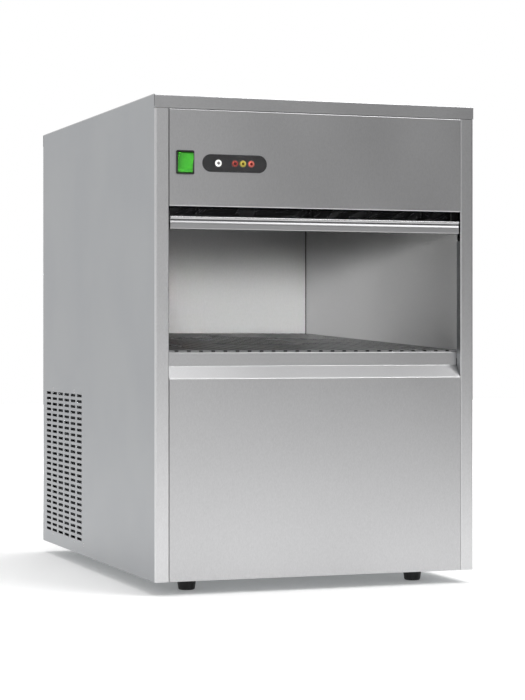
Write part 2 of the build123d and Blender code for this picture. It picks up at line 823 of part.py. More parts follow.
inner_half = chamber_half - chamber_wall - seat
flap_lines = [-inner_half, -2 * flap_width, -flap_width, 0, flap_width, 2 * flap_width, inner_half]
flap_bottom = lip_top + flap_clear
rib_top = rod_z - knuckle_radius
flaps = {}
for number in range(len(flap_lines) - 1):
    low_x = flap_lines[number] + flap_gap / 2
    high_x = flap_lines[number + 1] - flap_gap / 2
    with BuildPart() as flap:
        with BuildSketch(Plane.YZ.offset(low_x)):
            with Locations((curtain_y, rod_z)):
                Circle(knuckle_radius)
            with Locations((curtain_y, (flap_bottom + rod_z) / 2)):
                Rectangle(flap_plate, rod_z - flap_bottom)
            with Locations((curtain_y, rod_z)):
                Circle(rod_radius + play, mode=Mode.SUBTRACT)
        extrude(amount=high_x - low_x)
        rib_centers = [
            (x, curtain_y - flap_plate / 2, (flap_bottom + rib_top) / 2)
            for x in (low_x + flap_rib / 2, high_x - flap_rib / 2)
        ]
        with Locations(*rib_centers):
            Box(
                flap_rib,
                flap_rib,
                rib_top - flap_bottom,
                align=(Align.CENTER, Align.MAX, Align.CENTER),
            )
    name = "curtain_flap_" + str(number + 1)
    flaps[name] = flap.part
    keep(flaps[name], name)

# Evaporator: a tinned copper plate with cups that open downwards.
plate_z = ledge_z + chamber_wall + seat
with BuildPart() as evaporator:
    with Locations((0, evaporator_y, plate_z)):
        Box(
            2 * inner_half,
            plate_length,
            plate_thickness,
            align=(Align.CENTER, Align.CENTER, Align.MIN),
        )
        Box(
            cup_columns * cup_pitch + cup_wall,
            cup_rows * cup_pitch + cup_wall,
            cup_depth,
            align=(Align.CENTER, Align.CENTER, Align.MAX),
        )
    with BuildSketch(Plane.XY.offset(plate_z - cup_depth)):
        with Locations((0, evaporator_y)):
            with GridLocations(cup_pitch, cup_pitch, cup_columns, cup_rows):
                Rectangle(cup_pitch - cup_wall, cup_pitch - cup_wall)
    extrude(amount=cup_depth, taper=cup_draft, mode=Mode.SUBTRACT)
evaporator.part.label = "evaporator"
export_step(evaporator.part, "parts/evaporator.step")


def serpentine(plane, runs, run_length, pitch, radius):
    """A tube bent to and fro: straight runs along the plane's x, joined by half turns."""
    with BuildPart(plane, mode=Mode.PRIVATE) as tube:
        for run in range(runs):
            run_y = (run - (runs - 1) / 2) * pitch
            with Locations((0, run_y, 0)):
                Cylinder(radius, run_length, rotation=(0, 90, 0))
        for run in range(runs - 1):
            turn_y = (run + 1 - runs / 2) * pitch
            end = 1 if run % 2 == 0 else -1
            with Locations(Location((end * run_length / 2, turn_y, 0), (0, 0, -90 * end))):
                Torus(pitch / 2, radius, major_angle=180, align=None)
    return tube.part


coil_plane = Plane(origin=(0, evaporator_y, plate_z + plate_thickness + coil_radius + 2 * play))
coil_run = cup_columns * cup_pitch - 2 * coil_inset
evaporator_coil = serpentine(coil_plane, cup_rows, coil_run, cup_pitch, coil_radius)
keep(evaporator_coil, "evaporator_coil")

# Ice slide: a slotted ramp under the cups. Water falls through it, and ice slides down
# it to the curtain.
slide_low = chamber_z + slide_rise
slide_high = plate_z - cup_depth - slide_clear
slide_front = sump_front - slide_nose
slide_back = evaporator_y + plate_length / 2
with BuildPart() as ice_slide:
    with BuildSketch(Plane.YZ.offset(-inner_half)):
        with BuildLine():
            Polyline(
                (slide_front, slide_low),
                (slide_back, slide_high),
                (slide_back, slide_high - floor_sheet),
                (slide_front, slide_low - floor_sheet),
                close=True,
            )
        make_face()
    extrude(amount=2 * inner_half)
    with BuildSketch(Plane.XY.offset(slide_high)):
        with Locations((0, (slide_front + slide_back) / 2)):
            with GridLocations(slide_pitch, 1, int(2 * inner_half / slide_pitch), 1):
                Rectangle(slide_slot, slide_back - slide_front - 2 * slide_margin)
    extrude(amount=slide_low - slide_high - 2 * floor_sheet, mode=Mode.SUBTRACT)
ice_slide.part.label = "ice_slide"
export_step(ice_slide.part, "parts/ice_slide.step")

# Spray bar: a header pipe on two posts, with branches and upright nozzles.
spray_z = chamber_z + spray_rise
sump_floor = chamber_z + chamber_wall
with BuildPart() as spray_bar:
    with Locations((0, evaporator_y + nozzle_pitch / 2, spray_z)):
        Cylinder(spray_pipe, spray_branches * spray_pitch, rotation=(0, 90, 0))
    with Locations((0, evaporator_y, spray_z)):
        with GridLocations(spray_pitch, 1, spray_branches, 1):
            Cylinder(spray_branch, 2 * spray_reach, rotation=(90, 0, 0))
    with Locations((0, evaporator_y, spray_z + spray_branch / 2)):
        with GridLocations(spray_pitch, nozzle_pitch, spray_branches, nozzle_rows):
            Cone(
                nozzle_radii[0],
                nozzle_radii[1],
                nozzle_height,
                align=(Align.CENTER, Align.CENTER, Align.MIN),
            )
    with Locations((0, evaporator_y + nozzle_pitch / 2, sump_floor)):
        with GridLocations(2 * spray_pitch, 1, 2, 1):
            Box(
                2 * spray_branch,
                2 * spray_branch,
                spray_z - sump_floor - spray_pipe / 2,
                align=(Align.CENTER, Align.CENTER, Align.MIN),
            )
spray_bar.part.label = "spray_bar"
export_step(spray_bar.part, "parts/spray_bar.step")

# Top insulation: the foam lid on the ice chamber.
with BuildPart() as insulation_top:
    with Locations((0, (cheek_front + chamber_rear) / 2, chamber_top + seat)):
        Box(
            2 * chamber_half,
            chamber_rear - cheek_front,
            top_foam,
            align=(Align.CENTER, Align.CENTER, Align.MIN),
        )
insulation_top.part.label = "insulation_top"
export_step(insulation_top.part, "parts/insulation_top.step")

# Water pump: an upright motor on a flanged pump head, behind the chamber's rear wall.
with BuildPart() as water_pump:
    with BuildSketch(Plane.XZ):
        with BuildLine():
            Polyline(
                (0, 0),
                (pump_head[0], 0),
                pump_head,
                (pump_body[0], pump_head[1] + pump_step),
                pump_body,
                (pump_body[0] - pump_cap, pump_body[1] + pump_cap),
                (0, pump_body[1] + pump_cap),
                close=True,
            )
        make_face()
    revolve(axis=Axis.Z)
    with Locations((-pump_head[0], 0, pump_head[1] / 2)):
        Cylinder(pump_nozzle, pump_body[0], rotation=(0, 90, 0))
pump_place = Location((mouth - pump_inset, (chamber_rear + bin_back) / 2, sump_floor))
water_pump_part = water_pump.part.moved(pump_place)
keep(water_pump_part, "water_pump")

# Control board on the back of the header, behind the lamps, with a relay and a plug.
board_front = front + stem_length - label_thickness + seat
board_back = board_front + board_thickness
with BuildPart() as control_board:
    with BuildSketch(Plane.XZ.offset(-board_back)):
        with Locations((label_x, control_z)):
            Rectangle(*board_size)
    extrude(amount=board_thickness)
    with BuildSketch(Plane.XZ.offset(-board_front)):
        with Locations((label_x, control_z)):
            with GridLocations(board_size[0] - 2 * standoff, board_size[1] - 2 * standoff, 2, 2):
                Circle(standoff / 2)
    extrude(amount=board_front - front - sheet - seat)
    for shift, size in ((relay_place, relay_size), (plug_place, plug_size)):
        with Locations((label_x + shift[0], board_back, control_z + shift[1])):
            Box(*size, align=(Align.CENTER, Align.MIN, Align.CENTER))
control_board.part.label = "control_board"
export_step(control_board.part, "parts/control_board.step")

# Switch housing: a snap-in bezel with an open well, and a bearing hole for the rocker's
# trunnion in each side wall.
rocker_width = well_width - 2 * rocker_gap
pivot = (switch_x, front + pivot_depth, control_z)
with BuildPart() as switch_housing:
    with BuildSketch(Plane.XZ.offset(-front)):
        with Locations((switch_x, control_z)):
            RectangleRounded(switch_width, switch_height, switch_round)
    extrude(amount=switch_stand)
    with BuildSketch(Plane.XZ.offset(-front)):
        with Locations((switch_x, control_z)):
            Rectangle(socket_wide, socket_high)
    extrude(amount=-switch_depth)
    with BuildSketch(Plane.XZ.offset(switch_stand - front)):
        with Locations((switch_x, control_z)):
            Rectangle(well_width, well_height)
    extrude(amount=-well_depth, mode=Mode.SUBTRACT)
    with Locations(pivot):
        Cylinder(
            trunnion_radius + play,
            well_width + 2 * (trunnion_length + play),
            rotation=(0, 90, 0),
            mode=Mode.SUBTRACT,
        )
switch_housing.part.label = "switch_housing"
export_step(switch_housing.part, "parts/switch_housing.step")

# Rocker: a paddle on two trunnions, whose long face meets a short one in a low crease.
# It is built with its lower end pressed in, as in use.
corner_y = rocker_radius * sin(radians(rocker_corner))
corner_z = rocker_radius * cos(radians(rocker_corner))
shoulder_y = rocker_radius * sin(radians(rocker_shoulder))
shoulder_z = rocker_radius * cos(radians(rocker_shoulder))
stem_y, stem_z = rocker_stem
with BuildPart() as switch_rocker:
    with BuildSketch(Plane.YZ.offset(-rocker_width / 2)):
        with BuildLine():
            ThreePointArc((-corner_y, corner_z), (0, rocker_radius), (shoulder_y, shoulder_z))
            Polyline(
                (shoulder_y, shoulder_z),
                (stem_y, stem_z),
                (stem_y, -stem_z),
                (shoulder_y, -shoulder_z),
            )
            ThreePointArc((shoulder_y, -shoulder_z), (0, -rocker_radius), (-corner_y, -corner_z))
            Polyline(
                (-corner_y, -corner_z),
                (rocker_dish - corner_y, -rocker_crease),
                (-corner_y, corner_z),
            )
        make_face()
    extrude(amount=rocker_width)
    Cylinder(trunnion_radius, well_width + 2 * trunnion_length, rotation=(0, 90, 0))
switch_rocker_part = switch_rocker.part.moved(Location(pivot, (rocker_throw, 0, 0)))
keep(switch_rocker_part, "switch_rocker")

# Control label: a dark stadium-shaped plate, with a clear hole over each lamp.
with BuildPart() as control_label:
    with BuildSketch(Plane.XZ.offset(-front)):
        with Locations((label_x, control_z)):
            SlotOverall(label_width, label_height)
        with Locations(*[(lamp_x, control_z) for lamp_x in lamp_places.values()]):
            Circle(lamp_hole, mode=Mode.SUBTRACT)
    extrude(amount=label_thickness)
control_label.part.label = "control_label"
export_step(control_label.part, "parts/control_label.step")

# Lamps: a round lens cap with a stem that reaches back to the board.
stem_radius = lamp_hole - 4 * play
lamp_parts = {}
for colour, lamp_x in lamp_places.items():
    with BuildPart() as lamp:
        with BuildSketch(Plane.XZ):
            with BuildLine():
                Polyline(
                    (lens_flat, lamp_stand),
                    (0, lamp_stand),
                    (0, -stem_length),
                    (stem_radius, -stem_length),
                    (stem_radius, 0),
                    (lamp_radius, 0),
                )
                TangentArc((lamp_radius, 0), (lens_flat, lamp_stand), tangent=(0, 1))
            make_face()
        revolve(axis=Axis.Z)
    facing = Plane(origin=(lamp_x, front - label_thickness, control_z), z_dir=(0, -1, 0))
    lamp_parts["lamp_" + colour] = lamp.part.moved(facing.location)
    keep(lamp_parts["lamp_" + colour], "lamp_" + colour)

# Compressor: a deep-drawn can with a welded flange round its middle and a domed top, on
# a foot plate that stands on four rubber grommets.
can_x = side - can_inset
can_y = front + can_set_back
can_floor = pan_floor + seat + grommet_height
shell = can_radius * can_neck
with BuildPart() as compressor:
    with BuildSketch(Plane.XZ):
        with BuildLine():
            Polyline(
                (0, can_lift),
                (shell - can_round, can_lift),
                (shell, can_lift + can_round),
                (shell, can_seam),
                (can_radius, can_seam),
                (can_radius, can_seam + can_flange),
                (shell, can_seam + can_flange),
                (shell, can_height - 1.5 * can_round),
                (shell * 0.9, can_height - 0.8 * can_round),
                (shell * 0.6, can_height - 0.2 * can_round),
                (0, can_height),
                close=True,
            )
        make_face()
    revolve(axis=Axis.Z)
    with BuildSketch(Plane.XY):
        RectangleRounded(*can_plate, grommet_height)
        with GridLocations(*can_bolts, 2, 2):
            Circle(bolt_hole, mode=Mode.SUBTRACT)
    extrude(amount=plate_sheet)
    with BuildSketch(Plane.XY.offset(plate_sheet)):
        Circle(can_radius / 2)
    extrude(amount=can_lift)
compressor_part = compressor.part.moved(Location((can_x, can_y, can_floor)))
keep(compressor_part, "compressor")

with BuildPart() as compressor_grommets:
    neck = bolt_hole - seat
    collar = grommet_height + plate_sheet + play
    with BuildSketch(Plane.XZ) as grommet_section:
        with BuildLine():
            Polyline(
                (0, 0),
                (2 * bolt_hole, 0),
                (2 * bolt_hole, grommet_height),
                (neck, grommet_height),
                (neck, collar),
                (neck + plate_sheet, collar),
                (neck + plate_sheet, collar + plate_sheet),
                (0, collar + plate_sheet),
                close=True,
            )
        make_face()
    with Locations((can_x, can_y, pan_floor + seat)):
        with GridLocations(*can_bolts, 2, 2):
            add(revolve(grommet_section.sketch, Axis.Z, mode=Mode.PRIVATE))
compressor_grommets.part.label = "compressor_grommets"
export_step(compressor_grommets.part, "parts/compressor_grommets.step")

with BuildPart() as compressor_cover:
    with Locations((can_x, can_y - shell - seat, can_floor + can_height / 3)):
        Box(*cover_size, align=(Align.CENTER, Align.MAX, Align.CENTER))
        fillet(compressor_cover.edges().group_by(Axis.Y)[0], cover_round)
compressor_cover.part.label = "compressor_cover"
export_step(compressor_cover.part, "parts/compressor_cover.step")

# Condenser: thin aluminium fins between two end plates, and a copper tube expanded
# into them, close behind the louvres.
condenser_x = sheet + vent_lip + fin_gap + fin_width / 2 - side
plate_bottom = pan_floor + seat
plate_top = deck_top - return_depth - 2 * seat
fin_low = plate_bottom + fin_rise
fin_top = deck_top - return_depth - fin_margin
fin_height = fin_top - fin_low
condenser_z = (fin_low + fin_top) / 2
fin_span = (fin_count - 1) * fin_pitch
plate_y = fin_span / 2 + fin_margin
with BuildPart() as condenser_fins:
    with Locations((condenser_x, vent_y, condenser_z)):
        with GridLocations(1, fin_pitch, 1, fin_count):
            Box(fin_width, fin_sheet, fin_height)
    with Locations((condenser_x, vent_y, plate_bottom)):
        with GridLocations(1, 2 * plate_y, 1, 2):
            Box(
                fin_width,
                floor_sheet,
                plate_top - plate_bottom,
                align=(Align.CENTER, Align.CENTER, Align.MIN),
            )
condenser_fins.part.label = "condenser_fins"
export_step(condenser_fins.part, "parts/condenser_fins.step")

condenser_plane = Plane(origin=(condenser_x, vent_y, condenser_z), x_dir=(0, 1, 0), z_dir=(1, 0, 0))
condenser_coil = serpentine(condenser_plane, coil_runs, 2 * plate_y, fin_height / coil_runs, tube_radius)
keep(condenser_coil, "condenser_coil")

# Fan shroud: a plate across the condenser's rear face with a rolled ring for the fan.
shroud_x = condenser_x + fin_width / 2 + 2 * sheet
ring_radius = fan_radius + shroud_gap
with BuildPart() as fan_shroud:
    with BuildSketch(Plane.YZ.offset(shroud_x)):
        with Locations((vent_y, (plate_bottom + plate_top) / 2)):
            RectangleRounded(2 * plate_y, plate_top - plate_bottom, fold)
    extrude(amount=sheet)
    with BuildSketch(Plane.YZ.offset(shroud_x)):
        with Locations((vent_y, condenser_z)):
            Circle(ring_radius + sheet)
    extrude(amount=shroud_ring)
    with BuildSketch(Plane.YZ.offset(shroud_x)):
        with Locations((vent_y, condenser_z)):
            Circle(ring_radius)
    extrude(amount=shroud_ring, mode=Mode.SUBTRACT)
fan_shroud.part.label = "fan_shroud"
export_step(fan_shroud.part, "parts/fan_shroud.step")

# Fan blade: a moulded hub with five twisted blades on the motor's shaft.
hub_x = shroud_x + shroud_gap
with BuildPart() as fan_blade:
    with BuildSketch(Plane.YZ):
        Circle(hub_radius)
    extrude(amount=hub_length)
    middle = Vector(hub_length / 2, 0, 0)
    for blade in range(fan_blades):
        turn = radians(blade * 360.0 / fan_blades)
        outward = Vector(0, cos(turn), sin(turn))
        inner = middle + outward * (hub_radius - 2 * blade_root[0])
        outer = middle + outward * (fan_radius + 2 * blade_tip[0])
        with BuildSketch(Plane(origin=inner, x_dir=(1, 0, 0), z_dir=outward)):
            Rectangle(*blade_root, rotation=-blade_twist[0])
        with BuildSketch(Plane(origin=outer, x_dir=(1, 0, 0), z_dir=outward)):
            Rectangle(*blade_tip, rotation=-blade_twist[1])
        loft(ruled=True)
    Cylinder(fan_radius, 4 * hub_length, rotation=(0, 90, 0), mode=Mode.INTERSECT)
    Cylinder(shaft_radius, 4 * hub_length, rotation=(0, 90, 0), mode=Mode.SUBTRACT)
fan_blade_part = fan_blade.part.moved(Location((hub_x, vent_y, condenser_z)))
keep(fan_blade_part, "fan_blade")

motor_x = hub_x + hub_length + motor_gap
with BuildPart() as fan_shaft:
    with Locations((hub_x, vent_y, condenser_z)):
        Cylinder(
            shaft_radius,
            motor_x - hub_x + shaft_reach,
            rotation=(0, 90, 0),
            align=(Align.CENTER, Align.CENTER, Align.MIN),
        )
fan_shaft.part.label = "fan_shaft"
export_step(fan_shaft.part, "parts/fan_shaft.step")

with BuildPart() as fan_motor:
    with BuildSketch(Plane.YZ.offset(motor_x)):
        with Locations((vent_y, condenser_z)):
            Circle(motor_radius)
    extrude(amount=motor_length)
    chamfer(fan_motor.edges().filter_by(GeomType.CIRCLE), motor_gap)
    with BuildSketch(Plane.YZ.offset(motor_x)):
        with Locations((vent_y, condenser_z)):
            Circle(shaft_radius + play)
    extrude(amount=shaft_reach + seat, mode=Mode.SUBTRACT)
fan_motor.part.label = "fan_motor"
export_step(fan_motor.part, "parts/fan_motor.step")

# Fan bracket: a folded stand on the base pan that the motor is bolted to.
bracket_x = motor_x + motor_length
with BuildPart() as fan_bracket:
    with BuildSketch(Plane.XZ.offset(-vent_y - bracket_width / 2)):
        with BuildLine():
            bracket_line = FilletPolyline(
                (bracket_x + bracket_foot, pan_floor + seat),
                (bracket_x, pan_floor + seat),
                (bracket_x, condenser_z + motor_radius - motor_gap),
                radius=fold + sheet,
            )
            offset(bracket_line, amount=2 * sheet, side=Side.RIGHT)
        make_face()
    extrude(amount=bracket_width)
fan_bracket.part.label = "fan_bracket"
export_step(fan_bracket.part, "parts/fan_bracket.step")

# Electrical box: a folded housing with a cover, hung on the rear right of the deck.
hang_z = deck_top - floor_sheet - seat
box_back = back - recess_depth + sheet
with BuildPart() as electrical_box:
    with Locations((recess_x, box_back - box_size[1] / 2, hang_z)):
        Box(*box_size, align=(Align.CENTER, Align.CENTER, Align.MAX))
    fillet(electrical_box.edges().filter_by(Axis.Y), box_round)
    with Locations((recess_x, box_back - box_size[1], hang_z - box_size[2] / 2)):
        Box(
            box_size[0] - 2 * cover_inset,
            cover_thickness,
            box_size[2] - 2 * cover_inset,
            align=(Align.CENTER, Align.MAX, Align.CENTER),
        )
electrical_box.part.label = "electrical_box"
export_step(electrical_box.part, "parts/electrical_box.step")

# Filter drier: a spun copper capsule, clipped upright to the deck.
with BuildPart() as filter_drier:
    with BuildSketch(Plane.XZ):
        with BuildLine():
            Polyline(
                (0, 0),
                (drier_tube, 0),
                (drier_tube, drier_neck),
                (drier_radius, drier_neck + drier_radius),
                (drier_radius, drier_length - drier_neck - drier_radius),
                (drier_tube, drier_length - drier_neck),
                (drier_tube, drier_length),
                (0, drier_length),
                close=True,
            )
        make_face()
    revolve(axis=Axis.Z)
drier_spot = (drier_place[0] - side, front + drier_place[1], hang_z - drier_length)
filter_drier_part = filter_drier.part.moved(Location(drier_spot))
keep(filter_drier_part, "filter_drier")

# Water inlet valve: a solenoid on a brass body whose thread comes out in the recess, on
# a neck that is thinner than the thread.
pipe_end = back - connection_set_in
thread_start = recess_face + neck_length
valve_start = recess_floor - seat
with BuildPart() as inlet_valve:
    with BuildSketch(Plane.XZ.offset(-pipe_end)):
        with Locations((inlet_x, recess_z)):
            Circle(inlet_radius)
    extrude(amount=pipe_end - thread_start)
    with BuildSketch(Plane.XZ.offset(-thread_start)):
        with Locations((inlet_x, recess_z)):
            Circle(inlet_neck)
    extrude(amount=thread_start - valve_start)
    with BuildSketch(Plane.XZ.offset(-pipe_end)):
        with Locations((inlet_x, recess_z)):
            Circle(inlet_bore)
    extrude(amount=pipe_end - valve_start, mode=Mode.SUBTRACT)
    with BuildSketch(Plane.XZ.offset(-valve_start)):
        with Locations((inlet_x, recess_z)):
            RegularPolygon(inlet_hex, 6)
    extrude(amount=hex_length)
    with BuildSketch(Plane.XZ.offset(hex_length - valve_start)):
        with Locations((inlet_x, recess_z)):
            Rectangle(*valve_block)
    extrude(amount=valve_length)
    with Locations((inlet_x, valve_start - hex_length - valve_length / 2, recess_z + valve_block[1] / 2)):
        Cylinder(
            solenoid_radius,
            solenoid_height,
            align=(Align.CENTER, Align.CENTER, Align.MIN),
        )
inlet_valve.part.label = "inlet_valve"
export_step(inlet_valve.part, "parts/inlet_valve.step")

# Drain spout: a bulkhead fitting with its flange outside the recess, a nut inside it and
# a tube for the hose.
spout_start = recess_face + spout_plate
with BuildPart() as drain_spout:
    with BuildSketch(Plane.XZ.offset(-pipe_end)):
        with Locations((recess_x, recess_z)):
            Circle(spout_radius)
    extrude(amount=pipe_end - spout_start)
    with BuildSketch(Plane.XZ.offset(-spout_start)):
        with Locations((recess_x, recess_z)):
            Circle(spout_flange)
    extrude(amount=spout_plate)
    with BuildSketch(Plane.XZ.offset(-recess_face)):
        with Locations((recess_x, recess_z)):
            Circle(spout_tail)
    extrude(amount=tail_length)
    with BuildSketch(Plane.XZ.offset(-valve_start)):
        with Locations((recess_x, recess_z)):
            RegularPolygon(spout_flange, 6)
    extrude(amount=spout_plate)
    with BuildSketch(Plane.XZ.offset(-pipe_end)):
        with Locations((recess_x, recess_z)):
            Circle(spout_bore)
    extrude(amount=pipe_end, mode=Mode.SUBTRACT)
drain_spout.part.label = "drain_spout"
export_step(drain_spout.part, "parts/drain_spout.step")

# Power inlet: a panel socket with three flat blades in its well.
with BuildPart() as power_inlet:
    with BuildSketch(Plane.XZ.offset(-recess_face)):
        with Locations((socket_x, recess_z)):
            RectangleRounded(socket_size[0] + 2 * socket_rim, socket_size[1] + 2 * socket_rim, socket_rim)
    extrude(amount=-socket_rim)
    with BuildSketch(Plane.XZ.offset(-recess_face)):
        with Locations((socket_x, recess_z)):
            Rectangle(*socket_size)
    extrude(amount=socket_depth)
    with BuildSketch(Plane.XZ.offset(-recess_face - socket_rim)):
        with Locations((socket_x, recess_z)):
            Rectangle(socket_size[0] - 2 * socket_wall, socket_size[1] - 2 * socket_wall)
    extrude(amount=socket_depth - socket_wall, mode=Mode.SUBTRACT)
    with BuildSketch(Plane.XZ.offset(socket_depth - 2 * socket_wall - recess_face)):
        for shift in blade_places:
            with Locations((socket_x + shift[0], recess_z + shift[1])):
                Rectangle(*blade_size)
    extrude(amount=-blade_length)
power_inlet.part.label = "power_inlet"
export_step(power_inlet.part, "parts/power_inlet.step")
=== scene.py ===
from math import pi, radians

import bpy
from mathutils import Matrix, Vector


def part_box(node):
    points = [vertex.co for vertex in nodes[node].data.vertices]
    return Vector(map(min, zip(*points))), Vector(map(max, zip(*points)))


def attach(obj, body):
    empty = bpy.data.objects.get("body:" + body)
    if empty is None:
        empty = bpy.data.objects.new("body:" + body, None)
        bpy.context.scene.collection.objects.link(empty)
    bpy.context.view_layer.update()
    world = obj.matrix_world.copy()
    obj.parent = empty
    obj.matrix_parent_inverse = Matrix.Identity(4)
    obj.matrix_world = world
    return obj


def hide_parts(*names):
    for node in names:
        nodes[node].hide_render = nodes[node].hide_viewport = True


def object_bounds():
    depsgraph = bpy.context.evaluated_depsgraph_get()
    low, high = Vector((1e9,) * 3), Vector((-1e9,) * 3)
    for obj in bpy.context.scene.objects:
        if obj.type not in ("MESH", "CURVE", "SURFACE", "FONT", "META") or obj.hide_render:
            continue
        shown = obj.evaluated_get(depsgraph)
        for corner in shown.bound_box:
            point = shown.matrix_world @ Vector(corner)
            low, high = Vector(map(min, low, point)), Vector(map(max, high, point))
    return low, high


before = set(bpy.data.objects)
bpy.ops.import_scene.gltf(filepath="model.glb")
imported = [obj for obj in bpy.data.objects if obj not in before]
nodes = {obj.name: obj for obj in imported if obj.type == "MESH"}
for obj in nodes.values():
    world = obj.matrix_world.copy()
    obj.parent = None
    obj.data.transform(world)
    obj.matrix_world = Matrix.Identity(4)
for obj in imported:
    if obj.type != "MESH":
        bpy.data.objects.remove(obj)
cad_box = [list(corner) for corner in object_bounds()]
scene = bpy.context.scene
MM = 0.001

# Casing: a lid and a header, each folded from 1 mm stainless steel that was ground to a
# satin finish. Grinding leaves short soft streaks along the grain, and a faint
# cloudiness where the belt was dressed. The header's grain stands upright.


def linear(code):
    """A linear colour from an sRGB hex code."""
    parts = [int(code[i : i + 2], 16) / 255 for i in (0, 2, 4)]
    return [c / 12.92 if c <= 0.04045 else ((c + 0.055) / 1.055) ** 2.4 for c in parts] + [1.0]


def set_up(node, *values, stops=(), **named):
    """Set a node up. Values go to its inputs in order, a name in small letters is a setting,
    and one with a capital is an input. A node given as a value stands for its first output."""
    for name in [name for name in named if name[0].islower()]:
        setattr(node, name, named.pop(name))
    live = {socket.name.replace(" ", "_"): socket for socket in node.inputs if socket.enabled}
    given = [*zip(node.inputs, values), *((live[name], value) for name, value in named.items())]
    for socket, value in given:
        for source in value if socket.is_multi_input else [value]:
            if isinstance(source, bpy.types.Node):
                source = next(output for output in source.outputs if output.enabled)
            if isinstance(source, bpy.types.NodeSocket):
                node.id_data.links.new(source, socket)
            else:
                socket.default_value = source
    if stops:
        band = node.color_ramp.elements
        while len(band) < len(stops):
            band.new(0.5)
        for element, (position, code) in zip(band, stops):
            element.position = position
            element.color = linear(code)
    return node


def add(tree, kind, *values, **named):
    """Add one node with its settings and links."""
    return set_up(tree.nodes.new(kind), *values, **named)


def blank(name):
    """A new material, its tree and its shader."""
    material = bpy.data.materials.new(name)
    material.use_nodes = True
    return material, material.node_tree, material.node_tree.nodes["Principled BSDF"]


def grain(tree, size, detail=3.0):
    """Noise on Object coordinates, whose grain is size mm along X, Y and Z."""
    place = add(tree, "ShaderNodeTexCoord").outputs["Object"]
    scale = [1 / (length * MM) for length in size]
    fitted = add(tree, "ShaderNodeMapping", Vector=place, Scale=scale)
    return add(tree, "ShaderNodeTexNoise", Vector=fitted, Scale=1.0, Detail=detail)


# Real grinding streaks are about 0.1 mm wide. They are drawn coarser, so that they show.
upright = (0.9, 0.9, 3.0)
sideways = (3.0, 0.9, 0.9)
cloud = (150.0, 150.0, 220.0)
streak_depth = 0.0015


def satin_steel(name, dark, light, rough, streak=upright, depth=streak_depth):
    """Ground metal: streaks of a size and depth in mm, over a soft cloudiness."""
    material, tree, shader = blank(name)
    streaks = grain(tree, streak, 4.0)
    clouds = grain(tree, cloud, 1.0)
    tint = add(tree, "ShaderNodeValToRGB", streaks, stops=((0.25, dark), (0.75, light)))
    drift = add(tree, "ShaderNodeMapRange", clouds, 0.3, 0.7, rough - 0.015, rough + 0.015)
    bump = add(tree, "ShaderNodeBump", Height=streaks, Distance=depth * MM)
    set_up(shader, Base_Color=tint, Roughness=drift, Metallic=1.0, Normal=bump)
    return material


def coat(material, *names):
    """Give CAD nodes this material."""
    for name in names:
        slots = nodes[name].data.materials
        slots.clear()
        slots.append(material)


coat(satin_steel("stainless_header", "B4B4B5", "BFBFC0", 0.3), "header_panel")
coat(satin_steel("stainless_lid", "AEAEAF", "B8B8B9", 0.32, streak=sideways), "top_lid")

# Lower front: the same sheet as the header. A finger pull, a band over a slope, is
# pressed into it after grinding. The slope is painted a little greyer than the rest, as
# painted shade for the way the tilted face meets the light.


def tone(material, mask, code):
    """Turn the masked part of a material to another colour."""
    tree = material.node_tree
    shader = tree.nodes["Principled BSDF"]
    bare = shader.inputs["Base Color"].links[0].from_socket
    mixed = add(tree, "ShaderNodeMix", mask, A=bare, B=linear(code), data_type="RGBA")
    return set_up(shader, Base_Color=mixed)


def axis(tree, name):
    """One Object coordinate, in metres."""
    place = add(tree, "ShaderNodeTexCoord").outputs["Object"]
    return add(tree, "ShaderNodeSeparateXYZ", place).outputs[name]


pull_band = 17 * MM
pull_slope = 16 * MM
bend = 0.5 * MM
slope_shade_amount = 0.35
lower = satin_steel("stainless_lower_front", "B4B4B5", "BFBFC0", 0.3)
tree = lower.node_tree
height = axis(tree, "Z")
slope_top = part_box("lower_front_panel")[1].z - pull_band
slope_foot = slope_top - pull_slope
over_foot = add(tree, "ShaderNodeMapRange", height, slope_foot - bend, slope_foot + bend)
under_top = add(tree, "ShaderNodeMapRange", height, slope_top - 2 * bend, slope_top, 1.0, 0.0)
on_slope = add(tree, "ShaderNodeMath", over_foot, under_top, operation="MULTIPLY")
# Painted shade: the slope's colour is turned part way to a darker grey.
tone(lower, add(tree, "ShaderNodeMath", on_slope, slope_shade_amount, operation="MULTIPLY"), "8C8C8D")
coat(lower, "lower_front_panel")

# Side and back panels: the same steel, rolled and left with its smooth mill skin, even
# and faintly blue. Only the narrow front strips are ground, so there the streaks and a
# lighter tone come back. Flush countersunk screws hold the side panels.
ground_strip = 3 * MM
crisp = 0.1 * MM  # a mask fades over this length, so that its edge isn't jagged
head_radius = 4 * MM
head_places = ((236, 253.5), (109.5, 253.5), (236, 34.7), (109.5, 34.7), (55, 33))  # Y, Z
# Painted shade: each head's dark centre stands for its recess in shade; the dark outer ring is
# the joint round the head.
head_stops = ((0.2, "262627"), (0.34, "AEAEAF"), (0.84, "BEBEBF"), (0.93, "303031"))
material, tree, shader = blank("stainless_side")
strip_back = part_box("left_side_panel")[0].y + ground_strip
smooth = add(tree, "ShaderNodeMapRange", axis(tree, "Y"), strip_back - MM, strip_back)
streaks = grain(tree, upright, 4.0)
mottle = grain(tree, (120.0, 120.0, 120.0))
ground = add(tree, "ShaderNodeValToRGB", streaks, stops=((0.25, "C2C2C3"), (0.75, "CDCDCE")))
rolled = add(tree, "ShaderNodeValToRGB", mottle, stops=((0.35, "96989B"), (0.65, "9A9C9E")))
bare = add(tree, "ShaderNodeMix", smooth, A=ground, B=rolled, data_type="RGBA")
place = add(tree, "ShaderNodeTexCoord").outputs["Object"]
side_on = add(tree, "ShaderNodeVectorMath", place, (0, 1, 1), operation="MULTIPLY")
nearest = 1.0
for y, z in head_places:
    away = add(tree, "ShaderNodeVectorMath", side_on, (0, y * MM, z * MM), operation="DISTANCE")
    nearest = add(tree, "ShaderNodeMath", away, nearest, operation="MINIMUM")
out_from_axis = add(tree, "ShaderNodeMapRange", nearest, 0.0, head_radius)
